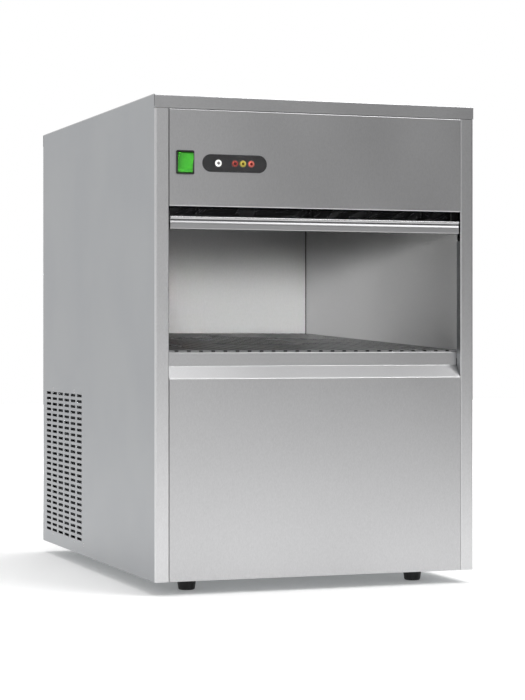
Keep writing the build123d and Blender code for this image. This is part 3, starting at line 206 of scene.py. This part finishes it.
head = add(tree, "ShaderNodeValToRGB", out_from_axis, stops=head_stops)
head_range = (head_radius - crisp, head_radius + crisp, 1.0, 0.0)
on_head = add(tree, "ShaderNodeMapRange", nearest, *head_range)
colour = add(tree, "ShaderNodeMix", on_head, A=bare, B=head, data_type="RGBA")
metal = add(tree, "ShaderNodeMapRange", smooth, 0.0, 1.0, 1.0, 0.86)
rough = add(tree, "ShaderNodeMapRange", smooth, 0.0, 1.0, 0.3, 0.4)
worn = add(tree, "ShaderNodeMapRange", smooth, 0.0, 1.0, 1.0, 0.1)
bump = add(tree, "ShaderNodeBump", Height=streaks, Strength=worn, Distance=streak_depth * MM)
set_up(shader, Base_Color=colour, Metallic=metal, Roughness=rough, Normal=bump)
coat(material, "left_side_panel", "right_side_panel", "back_panel")

# Bin: stainless sheets with a dull mill finish that scatters part of the light. A thin
# near-black line of painted shade runs down each rear corner, and the side walls' front
# above the door's rails is painted near black, as shade. The slotted floor is scratched
# along its slots; it is painted a darker tone than the walls, and near black along its
# slots' edges, as painted shade.


def darken(material, mask, bare_metal):
    """Turn the masked part of a metal into a near-black, matt surface."""
    shader = tone(material, mask, "0A0A0A")
    metal = add(material.node_tree, "ShaderNodeMapRange", mask, 0.0, 1.0, bare_metal, 0.0)
    set_up(shader, Metallic=metal)


back_metal = 0.3
corner_shade_width = 1.8 * MM
back_steel = satin_steel("stainless_bin_back", "B2B2B2", "BABABA", 0.36)
tree = back_steel.node_tree
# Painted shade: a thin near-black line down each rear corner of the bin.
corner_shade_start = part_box("bin_right_wall")[0].x - corner_shade_width
from_middle = add(tree, "ShaderNodeMath", axis(tree, "X"), operation="ABSOLUTE")
corner_shaded = add(tree, "ShaderNodeMapRange", from_middle, corner_shade_start, corner_shade_start + crisp)
darken(back_steel, corner_shaded, back_metal)
coat(back_steel, "bin_back_wall")

# Scale from meltwater dulls the side walls more and more towards the back.
side_metal = 0.75
scale_from, scale_to = -250 * MM, 60 * MM
front_shade_depth = 18 * MM
front_shade_edge = 0.5 * MM
side_steel = satin_steel("stainless_bin_side", "E4E4E4", "EBEBEB", 0.36)
tree = side_steel.node_tree
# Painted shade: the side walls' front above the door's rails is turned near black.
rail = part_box("door_skin")[0].z
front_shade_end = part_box("bin_right_wall")[0].y + front_shade_depth
over_rail = add(tree, "ShaderNodeMapRange", axis(tree, "Z"), rail, rail + front_shade_edge)
depth_in = axis(tree, "Y")
in_front = add(tree, "ShaderNodeMapRange", depth_in, front_shade_end - front_shade_edge, front_shade_end, 1.0, 0.0)
front_shaded = add(tree, "ShaderNodeMath", over_rail, in_front, operation="MULTIPLY")
scaled = add(tree, "ShaderNodeMapRange", depth_in, scale_from, scale_to, side_metal, 0.0)
darken(side_steel, front_shaded, scaled)
coat(side_steel, "bin_left_wall", "bin_right_wall")

slot_pitch = 16.7 * MM
slot_half = 2.7 * MM
slot_edge = 0.3 * MM
floor_grain = (0.8, 12.0, 0.8)
# Painted shade: the floor's steel is a darker tone than the walls', and near black along its
# slots' edges.
floor_steel = satin_steel("stainless_floor", "868687", "969697", 0.28, streak=floor_grain)
tree = floor_steel.node_tree
from_bar = add(tree, "ShaderNodeMath", axis(tree, "X"), slot_pitch / 2, operation="PINGPONG")
edge_start = slot_pitch / 2 - slot_half
slot_edge_shade = add(tree, "ShaderNodeMapRange", from_bar, edge_start, edge_start + slot_edge)
darken(floor_steel, slot_edge_shade, 1.0)
coat(floor_steel, "drain_floor")

# Drain pan: a thin white polypropylene tray. Moulding leaves a fine even texture and a
# slightly yellow, waxy tone.


def moulded(name, dark, light, rough, grit=0.5, depth=0.02, **extras):
    """Moulded plastic or rubber: its tone drifts slowly, and pits of grit mm cover it.
    Real pits are under 0.1 mm, so grit is coarser than they are."""
    material, tree, shader = blank(name)
    drift = grain(tree, (35.0, 35.0, 35.0), 2.0)
    pits = grain(tree, (grit, grit, grit), 2.0)
    colour = add(tree, "ShaderNodeValToRGB", drift, stops=((0.35, dark), (0.65, light)))
    dulled = add(tree, "ShaderNodeMapRange", pits, 0.3, 0.7, rough - 0.05, rough + 0.05)
    bump = add(tree, "ShaderNodeBump", Height=pits, Distance=depth * MM)
    set_up(shader, Base_Color=colour, Roughness=dulled, Normal=bump, **extras)
    return material


polypropylene = moulded("polypropylene_white", "D9D8D2", "E4E3DE", 0.45)
coat(polypropylene, "drain_pan")

# Feet: moulded from black rubber, under the base pan's corners. Carbon black makes it
# nearly colourless, and its skin is dull with a soft sheen.
rubber = moulded("rubber_black", "0B0B0C", "131314", 0.6, grit=0.7, depth=0.03)
coat(rubber, "feet")

# Door: a folded skin of brighter steel over a glossy white ABS liner. Its grip is extruded
# aluminium, anodised, with fine lines along the lip. It hangs on polished steel pins in
# waxy natural nylon sliders, which run in rails of dull black acetal.
door_steel = satin_steel(
    "stainless_door", "BCBCBD", "C8C8C9", 0.26, streak=(30.0, 1.0, 1.0), depth=0.0005
)
coat(door_steel, "door_skin")
coat(moulded("abs_white", "E2E2DF", "EAEAE7", 0.3, grit=0.8), "door_liner")
grip = satin_steel(
    "aluminium_grip", "9A9A9B", "A1A1A2", 0.35, streak=(60.0, 0.8, 0.8), depth=0.0004
)
coat(grip, "door_grip")
pin_steel = satin_steel("steel_pins", "A9AAAC", "BCBDBF", 0.2, streak=(20.0, 0.6, 0.6))
coat(pin_steel, "door_pins")
coat(moulded("nylon_natural", "D2CFC2", "DEDBD0", 0.38), "door_sliders")
coat(moulded("acetal_black", "0D0D0E", "151516", 0.5), "door_rails")

# Ice chamber and curtain: black ABS. The chamber has a fine spark-eroded texture. The
# flaps are polished in the mould, and thin slanting streaks are painted on them as
# highlights; they hang on a rod of the same steel as the door's pins.
coat(moulded("abs_black", "0A0A0B", "121213", 0.46), "ice_chamber")
coat(pin_steel, "curtain_rod")
painted_highlight_lean = 0.6
painted_highlight_size = (70.0, 70.0, 11.0)
painted_highlight_stops = ((0.45, "040405"), (0.62, "1B1B1C"), (0.7, "070708"))
flap = moulded(
    "abs_flaps", "040405", "070708", 0.2, grit=12.0, depth=0.05, Specular_IOR_Level=0.15
)
tree = flap.node_tree
place = add(tree, "ShaderNodeTexCoord").outputs["Object"]
turned = add(tree, "ShaderNodeMapping", Vector=place, Rotation=(0, painted_highlight_lean, 0))
thin = [1 / (length * MM) for length in painted_highlight_size]
fitted = add(tree, "ShaderNodeMapping", Vector=turned, Scale=thin)
painted_highlight_noise = add(tree, "ShaderNodeTexNoise", Vector=fitted, Scale=1.0, Detail=2.0)
# Painted highlights: thin slanting bright streaks in the flaps' base colour.
streak = add(tree, "ShaderNodeValToRGB", painted_highlight_noise, stops=painted_highlight_stops)
set_up(tree.nodes["Principled BSDF"], Base_Color=streak)
coat(flap, *("curtain_flap_" + str(number) for number in range(1, 7)))

# Evaporator: a copper plate with cups, tinned by dipping, so its skin is silvery with
# faint drifts where the tin ran. Its tube is drawn copper, soldered on, with lines along
# the bends and a thin brown tarnish.
tinned = satin_steel(
    "tinned_copper", "B9B4AC", "D2CEC8", 0.3, streak=(14.0, 14.0, 9.0), depth=0.02
)
coat(tinned, "evaporator")


def copper(name, shine, tarnish, rough):
    """Copper: bright metal with drawing lines, under patches of brown oxide."""
    material, tree, shader = blank(name)
    patches = grain(tree, (28.0, 28.0, 28.0), 5.0)
    lines = grain(tree, (6.0, 0.7, 6.0))
    colour = add(tree, "ShaderNodeValToRGB", patches, stops=((0.4, shine), (0.68, tarnish)))
    dulled = add(tree, "ShaderNodeMapRange", patches, 0.35, 0.7, rough, rough + 0.2)
    bump = add(tree, "ShaderNodeBump", Height=lines, Distance=0.01 * MM)
    set_up(shader, Base_Color=colour, Metallic=1.0, Roughness=dulled, Normal=bump)
    return material


copper_tube = copper("copper_tube", "C98560", "8A4B30", 0.24)
coat(copper_tube, "evaporator_coil")

# Ice slide: slotted stainless sheet, polished along its fall, so cubes slip on it. It
# stands in the chamber under the evaporator.
slide_steel = satin_steel(
    "stainless_slide", "C0C1C2", "D0D1D2", 0.2, streak=(1.0, 40.0, 1.0), depth=0.001
)
coat(slide_steel, "ice_slide")

# Pump and spray bar: the pump is a glass-filled nylon moulding, and glass fibres near its
# surface leave a cloudy grey bloom. The bar above it is white polypropylene, as the pan.
coat(moulded("nylon_glass", "161719", "26282B", 0.42, grit=0.9), "water_pump")
coat(polypropylene, "spray_bar")

# Insulation: rigid polyurethane foam, sawn to size. It is cream, a little darker where it
# has aged, with open cells that are drawn larger than they are. Black tape closes its
# front edges.
cell_size = 1.6 * MM
cell_depth = 0.5 * MM
tape_width = 8 * MM
material, tree, shader = blank("foam_cream")
place = add(tree, "ShaderNodeTexCoord").outputs["Object"]
cells = add(tree, "ShaderNodeTexVoronoi", Vector=place, Scale=1 / cell_size)
aged = grain(tree, (60.0, 60.0, 60.0))
foam = add(tree, "ShaderNodeValToRGB", aged, stops=((0.35, "CDBE8E"), (0.65, "DCD0A6")))
tape_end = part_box("insulation_walls")[0].y + tape_width
tape_range = (tape_end, tape_end + 2 * crisp, 1.0, 0.0)
taped = add(tree, "ShaderNodeMapRange", axis(tree, "Y"), *tape_range)
colour = add(tree, "ShaderNodeMix", taped, A=foam, B=linear("101010"), data_type="RGBA")
bump = add(tree, "ShaderNodeBump", Height=cells, Distance=cell_depth)
set_up(shader, Base_Color=colour, Roughness=0.92, Normal=bump)
coat(material, "insulation_walls", "insulation_floor", "insulation_top")

# Switch: a black nylon bezel that snaps into the header, and a green polycarbonate rocker
# that is lit from inside when it is on. It is off here, so the tinted plastic has only
# its own deep colour.
coat(moulded("nylon_black", "0C0C0D", "141415", 0.4), "switch_housing")
rocker_green = moulded(
    "rocker_green", "1F6E0E", "277E15", 0.3, grit=1.2, depth=0.01, Specular_IOR_Level=0.3
)
coat(rocker_green, "switch_rocker")

# Control label: a dark printed film glued on a plate. Its matt lacquer has a fine even
# grit.
label_film = moulded(
    "label_film", "171718", "1B1B1C", 0.42, grit=0.3, depth=0.006, Specular_IOR_Level=0.3
)
coat(label_film, "control_label")

# Lamps: clear polycarbonate caps on coloured lights, pushed through the label. The rim
# is painted pale, as a painted highlight where it scatters light, and over the unlit bulb
# the cap is painted dark, as shade in its depth.
cap_radius = 4.8 * MM
ripple_size = (1.5, 1.5, 1.5)
ripple = 0.6 * MM


def lens(name, rim, ring, core):
    """A lamp cap, shaded by distance from its axis, which runs through its box's middle."""
    middle = sum(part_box("lamp_" + name), Vector()) / 2
    material, tree, shader = blank("lens_" + name)
    place = add(tree, "ShaderNodeTexCoord").outputs["Object"]
    face_on = add(tree, "ShaderNodeVectorMath", place, (1, 0, 1), operation="MULTIPLY")
    centre = (middle.x, 0, middle.z)
    away = add(tree, "ShaderNodeVectorMath", face_on, centre, operation="DISTANCE")
    wavy = add(tree, "ShaderNodeMath", grain(tree, ripple_size), ripple, operation="MULTIPLY")
    reach = add(tree, "ShaderNodeMath", away, wavy, operation="ADD")
    out_to_rim = add(tree, "ShaderNodeMapRange", reach, 0.0, cap_radius)
    # The pale rim is a painted highlight and the dark core painted shade; the ring is the cap's
    # own tint.
    stops = ((0.42, core), (0.56, ring), (0.8, rim))
    tint = add(tree, "ShaderNodeValToRGB", out_to_rim, stops=stops)
    set_up(shader, Base_Color=tint, Roughness=0.16, Coat_Weight=0.6)
    coat(material, "lamp_" + name)


lens("white", "DEDEDC", "D2D2D0", "4E4E4E")
lens("red", "602620", "7E261E", "360707")
lens("yellow", "706828", "90842A", "40360A")
lens("orange", "7E3A32", "9E4E42", "4C1210")

# Control board: glass-epoxy board under green solder mask, with fine straight tracks.
# White nylon standoffs hold it in front, and black relays stand behind it.
standoff = 4.3 * MM
board_thickness = 1.7 * MM
track_pitch = 9 * MM
track_width = 0.03  # of the pitch
material, tree, shader = blank("circuit_board")
board_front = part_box("control_board")[0].y + standoff
board_back = board_front + board_thickness
place = add(tree, "ShaderNodeTexCoord").outputs["Object"]
tracks = add(tree, "ShaderNodeTexBrick", place, Scale=1 / track_pitch, Mortar_Size=track_width)
set_up(tracks, Color1=linear("0F5A2C"), Color2=linear("12632F"), Mortar=linear("2F8A4C"))
depth_in = axis(tree, "Y")
behind = add(tree, "ShaderNodeMapRange", depth_in, board_back, board_back + crisp)
before = add(tree, "ShaderNodeMapRange", depth_in, board_front - crisp, board_front, 1.0, 0.0)
body = add(tree, "ShaderNodeMix", behind, A=tracks, B=linear("141415"), data_type="RGBA")
colour = add(tree, "ShaderNodeMix", before, A=body, B=linear("E0DFD8"), data_type="RGBA")
mask_grit = grain(tree, (0.6, 0.6, 0.6))
bump = add(tree, "ShaderNodeBump", Height=mask_grit, Distance=0.02 * MM)
set_up(shader, Base_Color=colour, Roughness=0.38, Normal=bump)
coat(material, "control_board")

# Machine room: base pan, deck, shroud, bracket and box, folded from galvanised sheet.
# Hot-dip zinc freezes in crystals, which catch the light as spangles of different grey.
spangle_size = 7 * MM
material, tree, shader = blank("galvanised_sheet")
place = add(tree, "ShaderNodeTexCoord").outputs["Object"]
spangle = add(tree, "ShaderNodeTexVoronoi", Vector=place, Scale=1 / spangle_size)
shade = add(tree, "ShaderNodeSeparateXYZ", spangle.outputs["Color"])
colour = add(tree, "ShaderNodeValToRGB", shade, stops=((0.0, "8E9396"), (1.0, "B4B9BB")))
rough = add(tree, "ShaderNodeMapRange", shade, 0.0, 1.0, 0.34, 0.5)
bump = add(tree, "ShaderNodeBump", Height=shade, Distance=0.01 * MM)
set_up(shader, Base_Color=colour, Metallic=1.0, Roughness=rough, Normal=bump)
coat(material, "base_pan", "machine_room_deck", "fan_shroud", "fan_bracket", "electrical_box")

# Compressor and fan motor: pressed steel under thick black enamel, sprayed, with the soft
# ripple that such paint keeps. The compressor stands on rubber grommets, and its
# terminals have a cover of brown-black phenolic.
enamel = moulded(
    "enamel_black", "08090A", "0F1011", 0.22, grit=3.5, depth=0.04, Coat_Weight=0.5
)
coat(enamel, "compressor", "fan_motor")
coat(rubber, "compressor_grommets")
coat(moulded("phenolic_black", "111112", "1B1A19", 0.5), "compressor_cover")

# Fan: black glass-filled polypropylene blades, slightly grey, pressed on a ground steel
# shaft.
coat(moulded("fan_plastic", "101112", "1A1B1C", 0.4, grit=0.8), "fan_blade")
shaft_steel = satin_steel("steel_shaft", "A4A5A7", "B8B9BB", 0.18, streak=(0.5, 8.0, 8.0))
coat(shaft_steel, "fan_shaft")

# Condenser: aluminium fins at their true pitch, pressed onto the copper tube between two
# end plates. The foil is rolled, so it is bright with lengthwise lines. The filter drier
# beside it is spun from browner copper.


def tree_of(name, **inputs):
    """An empty Geometry Nodes tree with named inputs, and those inputs."""
    made = bpy.data.node_groups.new(name, "GeometryNodeTree")
    made.interface.new_socket("Geometry", in_out="OUTPUT", socket_type="NodeSocketGeometry")
    for label, kind in inputs.items():
        label = label.replace("_", " ")
        made.interface.new_socket(label, in_out="INPUT", socket_type="NodeSocket" + kind)
    return made, made.nodes.new("NodeGroupInput").outputs


def close(made, shape, finish):
    """End a tree: make its shape real and give it its material."""
    real = add(made, "GeometryNodeRealizeInstances", shape)
    add(made, "NodeGroupOutput", add(made, "GeometryNodeSetMaterial", real, Material=finish))


def grow(name, made, places=(), **values):
    """Run a tree on places in mm with its inputs set, and keep the result as a plain mesh."""
    mesh = bpy.data.meshes.new(name + "_places")
    mesh.from_pydata([Vector(place) * MM for place in places], [], [])
    carrier = bpy.data.objects.new(name, mesh)
    scene.collection.objects.link(carrier)
    modifier = carrier.modifiers.new("grow", "NODES")
    modifier.node_group = made
    for item in made.interface.items_tree:
        label = item.name.replace(" ", "_")
        if item.in_out == "INPUT" and label in values:
            modifier[item.identifier] = values[label]
    graph = bpy.context.evaluated_depsgraph_get()
    grown = bpy.data.meshes.new_from_object(carrier.evaluated_get(graph), depsgraph=graph)
    carrier.modifiers.clear()
    carrier.data = grown
    return carrier


foil = satin_steel(
    "aluminium_foil", "B2B5B8", "CDD0D2", 0.3, streak=(20.0, 2.0, 0.9), depth=0.004
)
made, given = tree_of(
    "fin_pack",
    Fin_Size="Vector",
    Plate_Size="Vector",
    First_Fin="Vector",
    First_Plate="Vector",
    Fin_Step="Vector",
    Plate_Step="Vector",
    Fins="Int",
    Foil="Material",
)
rows = []
for label, count in (("Plate", 2), ("Fin", given["Fins"])):
    first, step = given["First " + label], given[label + " Step"]
    sheet = add(made, "GeometryNodeMeshCube", given[label + " Size"])
    line = add(made, "GeometryNodeMeshLine", Count=count, Start_Location=first, Offset=step)
    rows.append(add(made, "GeometryNodeInstanceOnPoints", Points=line, Instance=sheet))
close(made, add(made, "GeometryNodeJoinGeometry", rows), given["Foil"])

plate = 1.2 * MM
fin_sheet = 0.2 * MM
fin_step = 2.1 * MM
fin_room = 3.5 * MM
fin_over = 3.9 * MM
fin_rise = 18 * MM
low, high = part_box("condenser_fins")
size = high - low
middle = (low + high) / 2
fin_top = high.z - fin_over
fin_low = low.z + fin_rise
fins = int((size.y - 2 * fin_room) / fin_step)
first_y = middle.y - (fins - 1) * fin_step / 2
fin_pack = grow(
    "condenser_fin_pack",
    made,
    Fin_Size=(size.x, fin_sheet, fin_top - fin_low),
    Plate_Size=(size.x, plate, size.z),
    First_Fin=(middle.x, first_y, (fin_top + fin_low) / 2),
    First_Plate=(middle.x, low.y + plate / 2, middle.z),
    Fin_Step=(0, fin_step, 0),
    Plate_Step=(0, size.y - plate, 0),
    Fins=fins,
    Foil=foil,
)
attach(fin_pack, "cabinet")
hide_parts("condenser_fins")
coat(copper_tube, "condenser_coil")
coat(copper("copper_spun", "BF7A55", "99573A", 0.3), "filter_drier")

# Water inlet and drain spout: the inlet is forged brass, turned bright, with a 3/4 inch
# pipe thread cut on its stub. Behind the hexagon a white nylon body carries the black
# potted coil. The spout is white polypropylene.
coat(polypropylene, "drain_spout")
recess_depth = 15 * MM
hexagon_reach = 10.4 * MM
recess_floor = cad_box[1][1] - recess_depth
material, tree, shader = blank("brass_valve")
depth_in = axis(tree, "Y")
turned = grain(tree, (9.0, 0.35, 9.0))
brass_start = recess_floor - hexagon_reach
brass = add(tree, "ShaderNodeMapRange", depth_in, brass_start, brass_start + crisp)
bright = add(tree, "ShaderNodeValToRGB", turned, stops=((0.3, "B08D4A"), (0.7, "D1B06B")))
colour = add(tree, "ShaderNodeMix", brass, A=linear("D8D6CC"), B=bright, data_type="RGBA")
rough = add(tree, "ShaderNodeMapRange", turned, 0.3, 0.7, 0.24, 0.36)
bump = add(tree, "ShaderNodeBump", Height=turned, Distance=0.01 * MM)
set_up(shader, Base_Color=colour, Metallic=brass, Roughness=rough, Normal=bump)
coat(material, "inlet_valve")

made, given = tree_of(
    "pipe_thread",
    Place="Vector",
    Turn="Vector",
    Turns="Float",
    Radius="Float",
    Length="Float",
    Ridge="Float",
    Brass="Material",
)
helix = add(
    made,
    "GeometryNodeCurveSpiral",
    Resolution=40,
    Rotations=given["Turns"],
    Start_Radius=given["Radius"],
    End_Radius=given["Radius"],
    Height=given["Length"],
)
ridge = add(made, "GeometryNodeCurvePrimitiveCircle", Resolution=3, Radius=given["Ridge"])
swept = add(made, "GeometryNodeCurveToMesh", helix, Profile_Curve=ridge, Fill_Caps=True)
laid = add(
    made, "GeometryNodeTransform", swept, Translation=given["Place"], Rotation=given["Turn"]
)
close(made, laid, given["Brass"])

thread_turns = 5.5
thread_pitch = 1.81 * MM
thread_radius = 13.1 * MM
thread_ridge = 0.45 * MM
thread_start = 1.5 * MM
stub_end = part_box("inlet_valve")[1].y
corners = [v.co for v in nodes["inlet_valve"].data.vertices]
rim = [corner for corner in corners if corner.y > stub_end - 0.1 * MM]
stub = sum(rim, Vector()) / len(rim)
thread = grow(
    "inlet_thread",
    made,
    Place=(stub.x, stub_end - thread_start, stub.z),
    Turn=(pi / 2, 0, 0),
    Turns=thread_turns,
    Radius=thread_radius,
    Length=thread_turns * thread_pitch,
    Ridge=thread_ridge,
    Brass=material,
)
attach(thread, "cabinet")

# Power inlet: a black nylon socket that snaps into the recess, smooth and a little
# glossy, with three bright nickel-plated blades in its well.
well_half_width = 9 * MM
well_half_height = 6.5 * MM
well_depth = 4 * MM
material, tree, shader = blank("power_inlet_nylon")
low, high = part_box("power_inlet")
middle = (low + high) / 2
wide = (axis(tree, "X"), middle.x, well_half_width)
tall = (axis(tree, "Z"), middle.z, well_half_height)
well_floor = low.y + well_depth
near_x = add(tree, "ShaderNodeMath", *wide, operation="COMPARE")
near_z = add(tree, "ShaderNodeMath", *tall, operation="COMPARE")
deep = add(tree, "ShaderNodeMapRange", axis(tree, "Y"), well_floor, well_floor + crisp)
across = add(tree, "ShaderNodeMath", near_x, near_z, operation="MULTIPLY")
blades = add(tree, "ShaderNodeMath", across, deep, operation="MULTIPLY")
mottle = grain(tree, (30.0, 30.0, 30.0))
black = add(tree, "ShaderNodeValToRGB", mottle, stops=((0.35, "0D0D0E"), (0.65, "151516")))
colour = add(tree, "ShaderNodeMix", blades, A=black, B=linear("C9C8C2"), data_type="RGBA")
pits = grain(tree, (0.5, 0.5, 0.5))
bump = add(tree, "ShaderNodeBump", Height=pits, Distance=0.02 * MM)
set_up(shader, Base_Color=colour, Metallic=blades, Roughness=0.36, Normal=bump)
coat(material, "power_inlet")

# Screws: pan heads with a cross recess, of polished stainless steel. They hold the
# compressor's feet from below, the recess for the connections and the control board.
screw_steel = satin_steel(
    "stainless_screw", "A8A9AB", "C2C3C5", 0.2, streak=(2.0, 2.0, 2.0), depth=0.004
)
made, given = tree_of(
    "screw_heads",
    Places="Geometry",
    Facing="Rotation",
    Radius="Float",
    Height="Float",
    Recess="Vector",
    Steel="Material",
)
crown = 0.72
top_radius = add(made, "ShaderNodeMath", given["Radius"], crown, operation="MULTIPLY")
head = add(
    made,
    "GeometryNodeMeshCone",
    Vertices=20,
    Radius_Bottom=given["Radius"],
    Radius_Top=top_radius,
    Depth=given["Height"],
)
slot = add(made, "GeometryNodeMeshCube", given["Recess"])
lift = add(made, "ShaderNodeCombineXYZ", Z=given["Height"])
cross = [
    add(made, "GeometryNodeTransform", slot, Translation=lift, Rotation=(0, 0, turn))
    for turn in (pi / 4, -pi / 4)
]
cut = add(made, "GeometryNodeMeshBoolean", head, Mesh_2=cross, operation="DIFFERENCE")
heads = add(
    made,
    "GeometryNodeInstanceOnPoints",
    Points=given["Places"],
    Instance=cut,
    Rotation=given["Facing"],
)
close(made, heads, given["Steel"])

# Places are in mm, in the frame that every piece shares.
pan_bottom = 18
inset = 9 * MM
low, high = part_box("compressor_grommets")
under_x = (low.x + inset, high.x - inset)
under_y = (low.y + inset, high.y - inset)
under = [(x / MM, y / MM, pan_bottom) for x in under_x for y in under_y]
recess = [(x, recess_floor / MM, z) for x in (66, 184) for z in (57, 129)]
board = [(x, board_back / MM, z) for x in (-167, -67) for z in (541, 576)]
for name, places, facing in (
    ("screws_pan", under, (pi, 0, 0)),
    ("screws_recess", recess, (-pi / 2, 0, 0)),
    ("screws_board", board, (-pi / 2, 0, 0)),
):
    heads = grow(
        name,
        made,
        places,
        Facing=facing,
        Radius=4.0 * MM,
        Height=1.6 * MM,
        Recess=(4.4 * MM, 0.9 * MM, 1.6 * MM),
        Steel=screw_steel,
    )
    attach(heads, "cabinet")

# Studio: a white floor and backdrop, two soft lamps above, and a narrow one aimed into
# the bin. The steel sees the bright left side and a darker right side, as in the photo.
scene.view_settings.view_transform = "Standard"
camera = bpy.data.objects.new("camera", bpy.data.cameras.new("camera"))
scene.collection.objects.link(camera)
camera.location = (-0.99988, -2.86437, 0.33542)
camera.rotation_euler = (pi / 2, 0, -radians(19.763))
camera.data.lens = 107.31
camera.data.sensor_width = 36
camera.data.shift_y = -0.0209
scene.camera = camera

# Metal mirrors a bright left side, a dark right side, a bright rear and a sky that dims
# a little. Each is a range of direction, and the brightness at either end of it.
right_side = (0.2, 0.42, 1.0, 0.05)
rear = (-0.1, 0.2)
sky = (-0.05, 0.12, 1.0, 0.72)
world = bpy.data.worlds.new("studio")
scene.world = world
world.use_nodes = True
tree = world.node_tree
tree.nodes.clear()
way = add(tree, "ShaderNodeTexCoord").outputs["Generated"]
parts = add(tree, "ShaderNodeSeparateXYZ", way).outputs
right = add(tree, "ShaderNodeMapRange", parts["X"], *right_side)
ahead = add(tree, "ShaderNodeMapRange", parts["Y"], *rear)
up = add(tree, "ShaderNodeMapRange", parts["Z"], *sky)
aside = add(tree, "ShaderNodeMath", right, up, operation="MULTIPLY")
mirrored = add(tree, "ShaderNodeMath", aside, ahead, operation="MAXIMUM")
rays = add(tree, "ShaderNodeLightPath").outputs
through = (rays["Is Camera Ray"], rays["Is Transmission Ray"])
seen = add(tree, "ShaderNodeMath", *through, operation="MAXIMUM")
white = linear("FFFFFF")
soft = add(tree, "ShaderNodeBackground", Color=white, Strength=0.75)
gloss = add(tree, "ShaderNodeBackground", Color=white, Strength=mirrored)
backdrop = add(tree, "ShaderNodeBackground", Color=white, Strength=1.0)
lit = add(tree, "ShaderNodeMixShader", rays["Is Glossy Ray"], soft, gloss)
shown = add(tree, "ShaderNodeMixShader", seen, lit, backdrop)
add(tree, "ShaderNodeOutputWorld", shown)

# The floor shows the shadow near the machine and fades into the backdrop away from it.
# Metal mirrors it darker on the right. Ranges are in metres, each with its two levels.
fading = (0.9, 2.2, 0.14, 1.0)
dimming = (0.3, 3.0, 0.0, 0.8)
mirrored_glow = 0.3
bpy.ops.mesh.primitive_plane_add(size=14)
floor = bpy.context.object
floor.name = "floor"
material, tree, shader = blank("floor_white")
rays = add(tree, "ShaderNodeLightPath").outputs
camera_ray, glossy_ray = rays["Is Camera Ray"], rays["Is Glossy Ray"]
place = add(tree, "ShaderNodeTexCoord").outputs["Object"]
distance = add(tree, "ShaderNodeVectorMath", place, operation="LENGTH")
fade = add(tree, "ShaderNodeMapRange", distance, *fading)
far = add(tree, "ShaderNodeMath", camera_ray, fade, operation="MULTIPLY")
mirrored = add(tree, "ShaderNodeMath", glossy_ray, mirrored_glow, operation="MULTIPLY")
glow = add(tree, "ShaderNodeMath", far, mirrored, operation="MAXIMUM")
dim = add(tree, "ShaderNodeMapRange", axis(tree, "X"), *dimming)
dimmed = add(tree, "ShaderNodeMath", glossy_ray, dim, operation="MULTIPLY")
pale, black = linear("F4F4F4"), linear("000000")
colour = add(tree, "ShaderNodeMix", dimmed, A=pale, B=black, data_type="RGBA")
set_up(shader, Base_Color=colour, Roughness=0.9, Emission_Color=white, Emission_Strength=glow)
floor.data.materials.append(material)


def lamp(name, place, target, size, power):
    """A soft square lamp that points at a target."""
    light = bpy.data.lights.new(name, "AREA")
    light.energy = power
    light.size = size
    made = bpy.data.objects.new(name, light)
    made.location = place
    made.rotation_euler = (Vector(target) - Vector(place)).to_track_quat("-Z", "Y").to_euler()
    scene.collection.objects.link(made)
    return made


lamp("key", (1.4, -2.0, 2.4), (0, 0, 0.3), 1.6, 40)
lamp("top", (0.2, 0.2, 2.6), (0, 0, 0.3), 2.0, 40)
fill = lamp("fill", (-0.8, -2.7, 0.6), (0.12, 0.28, 0.38), 0.4, 1.1)
fill.data.spread = radians(14)
fill.visible_glossy = False
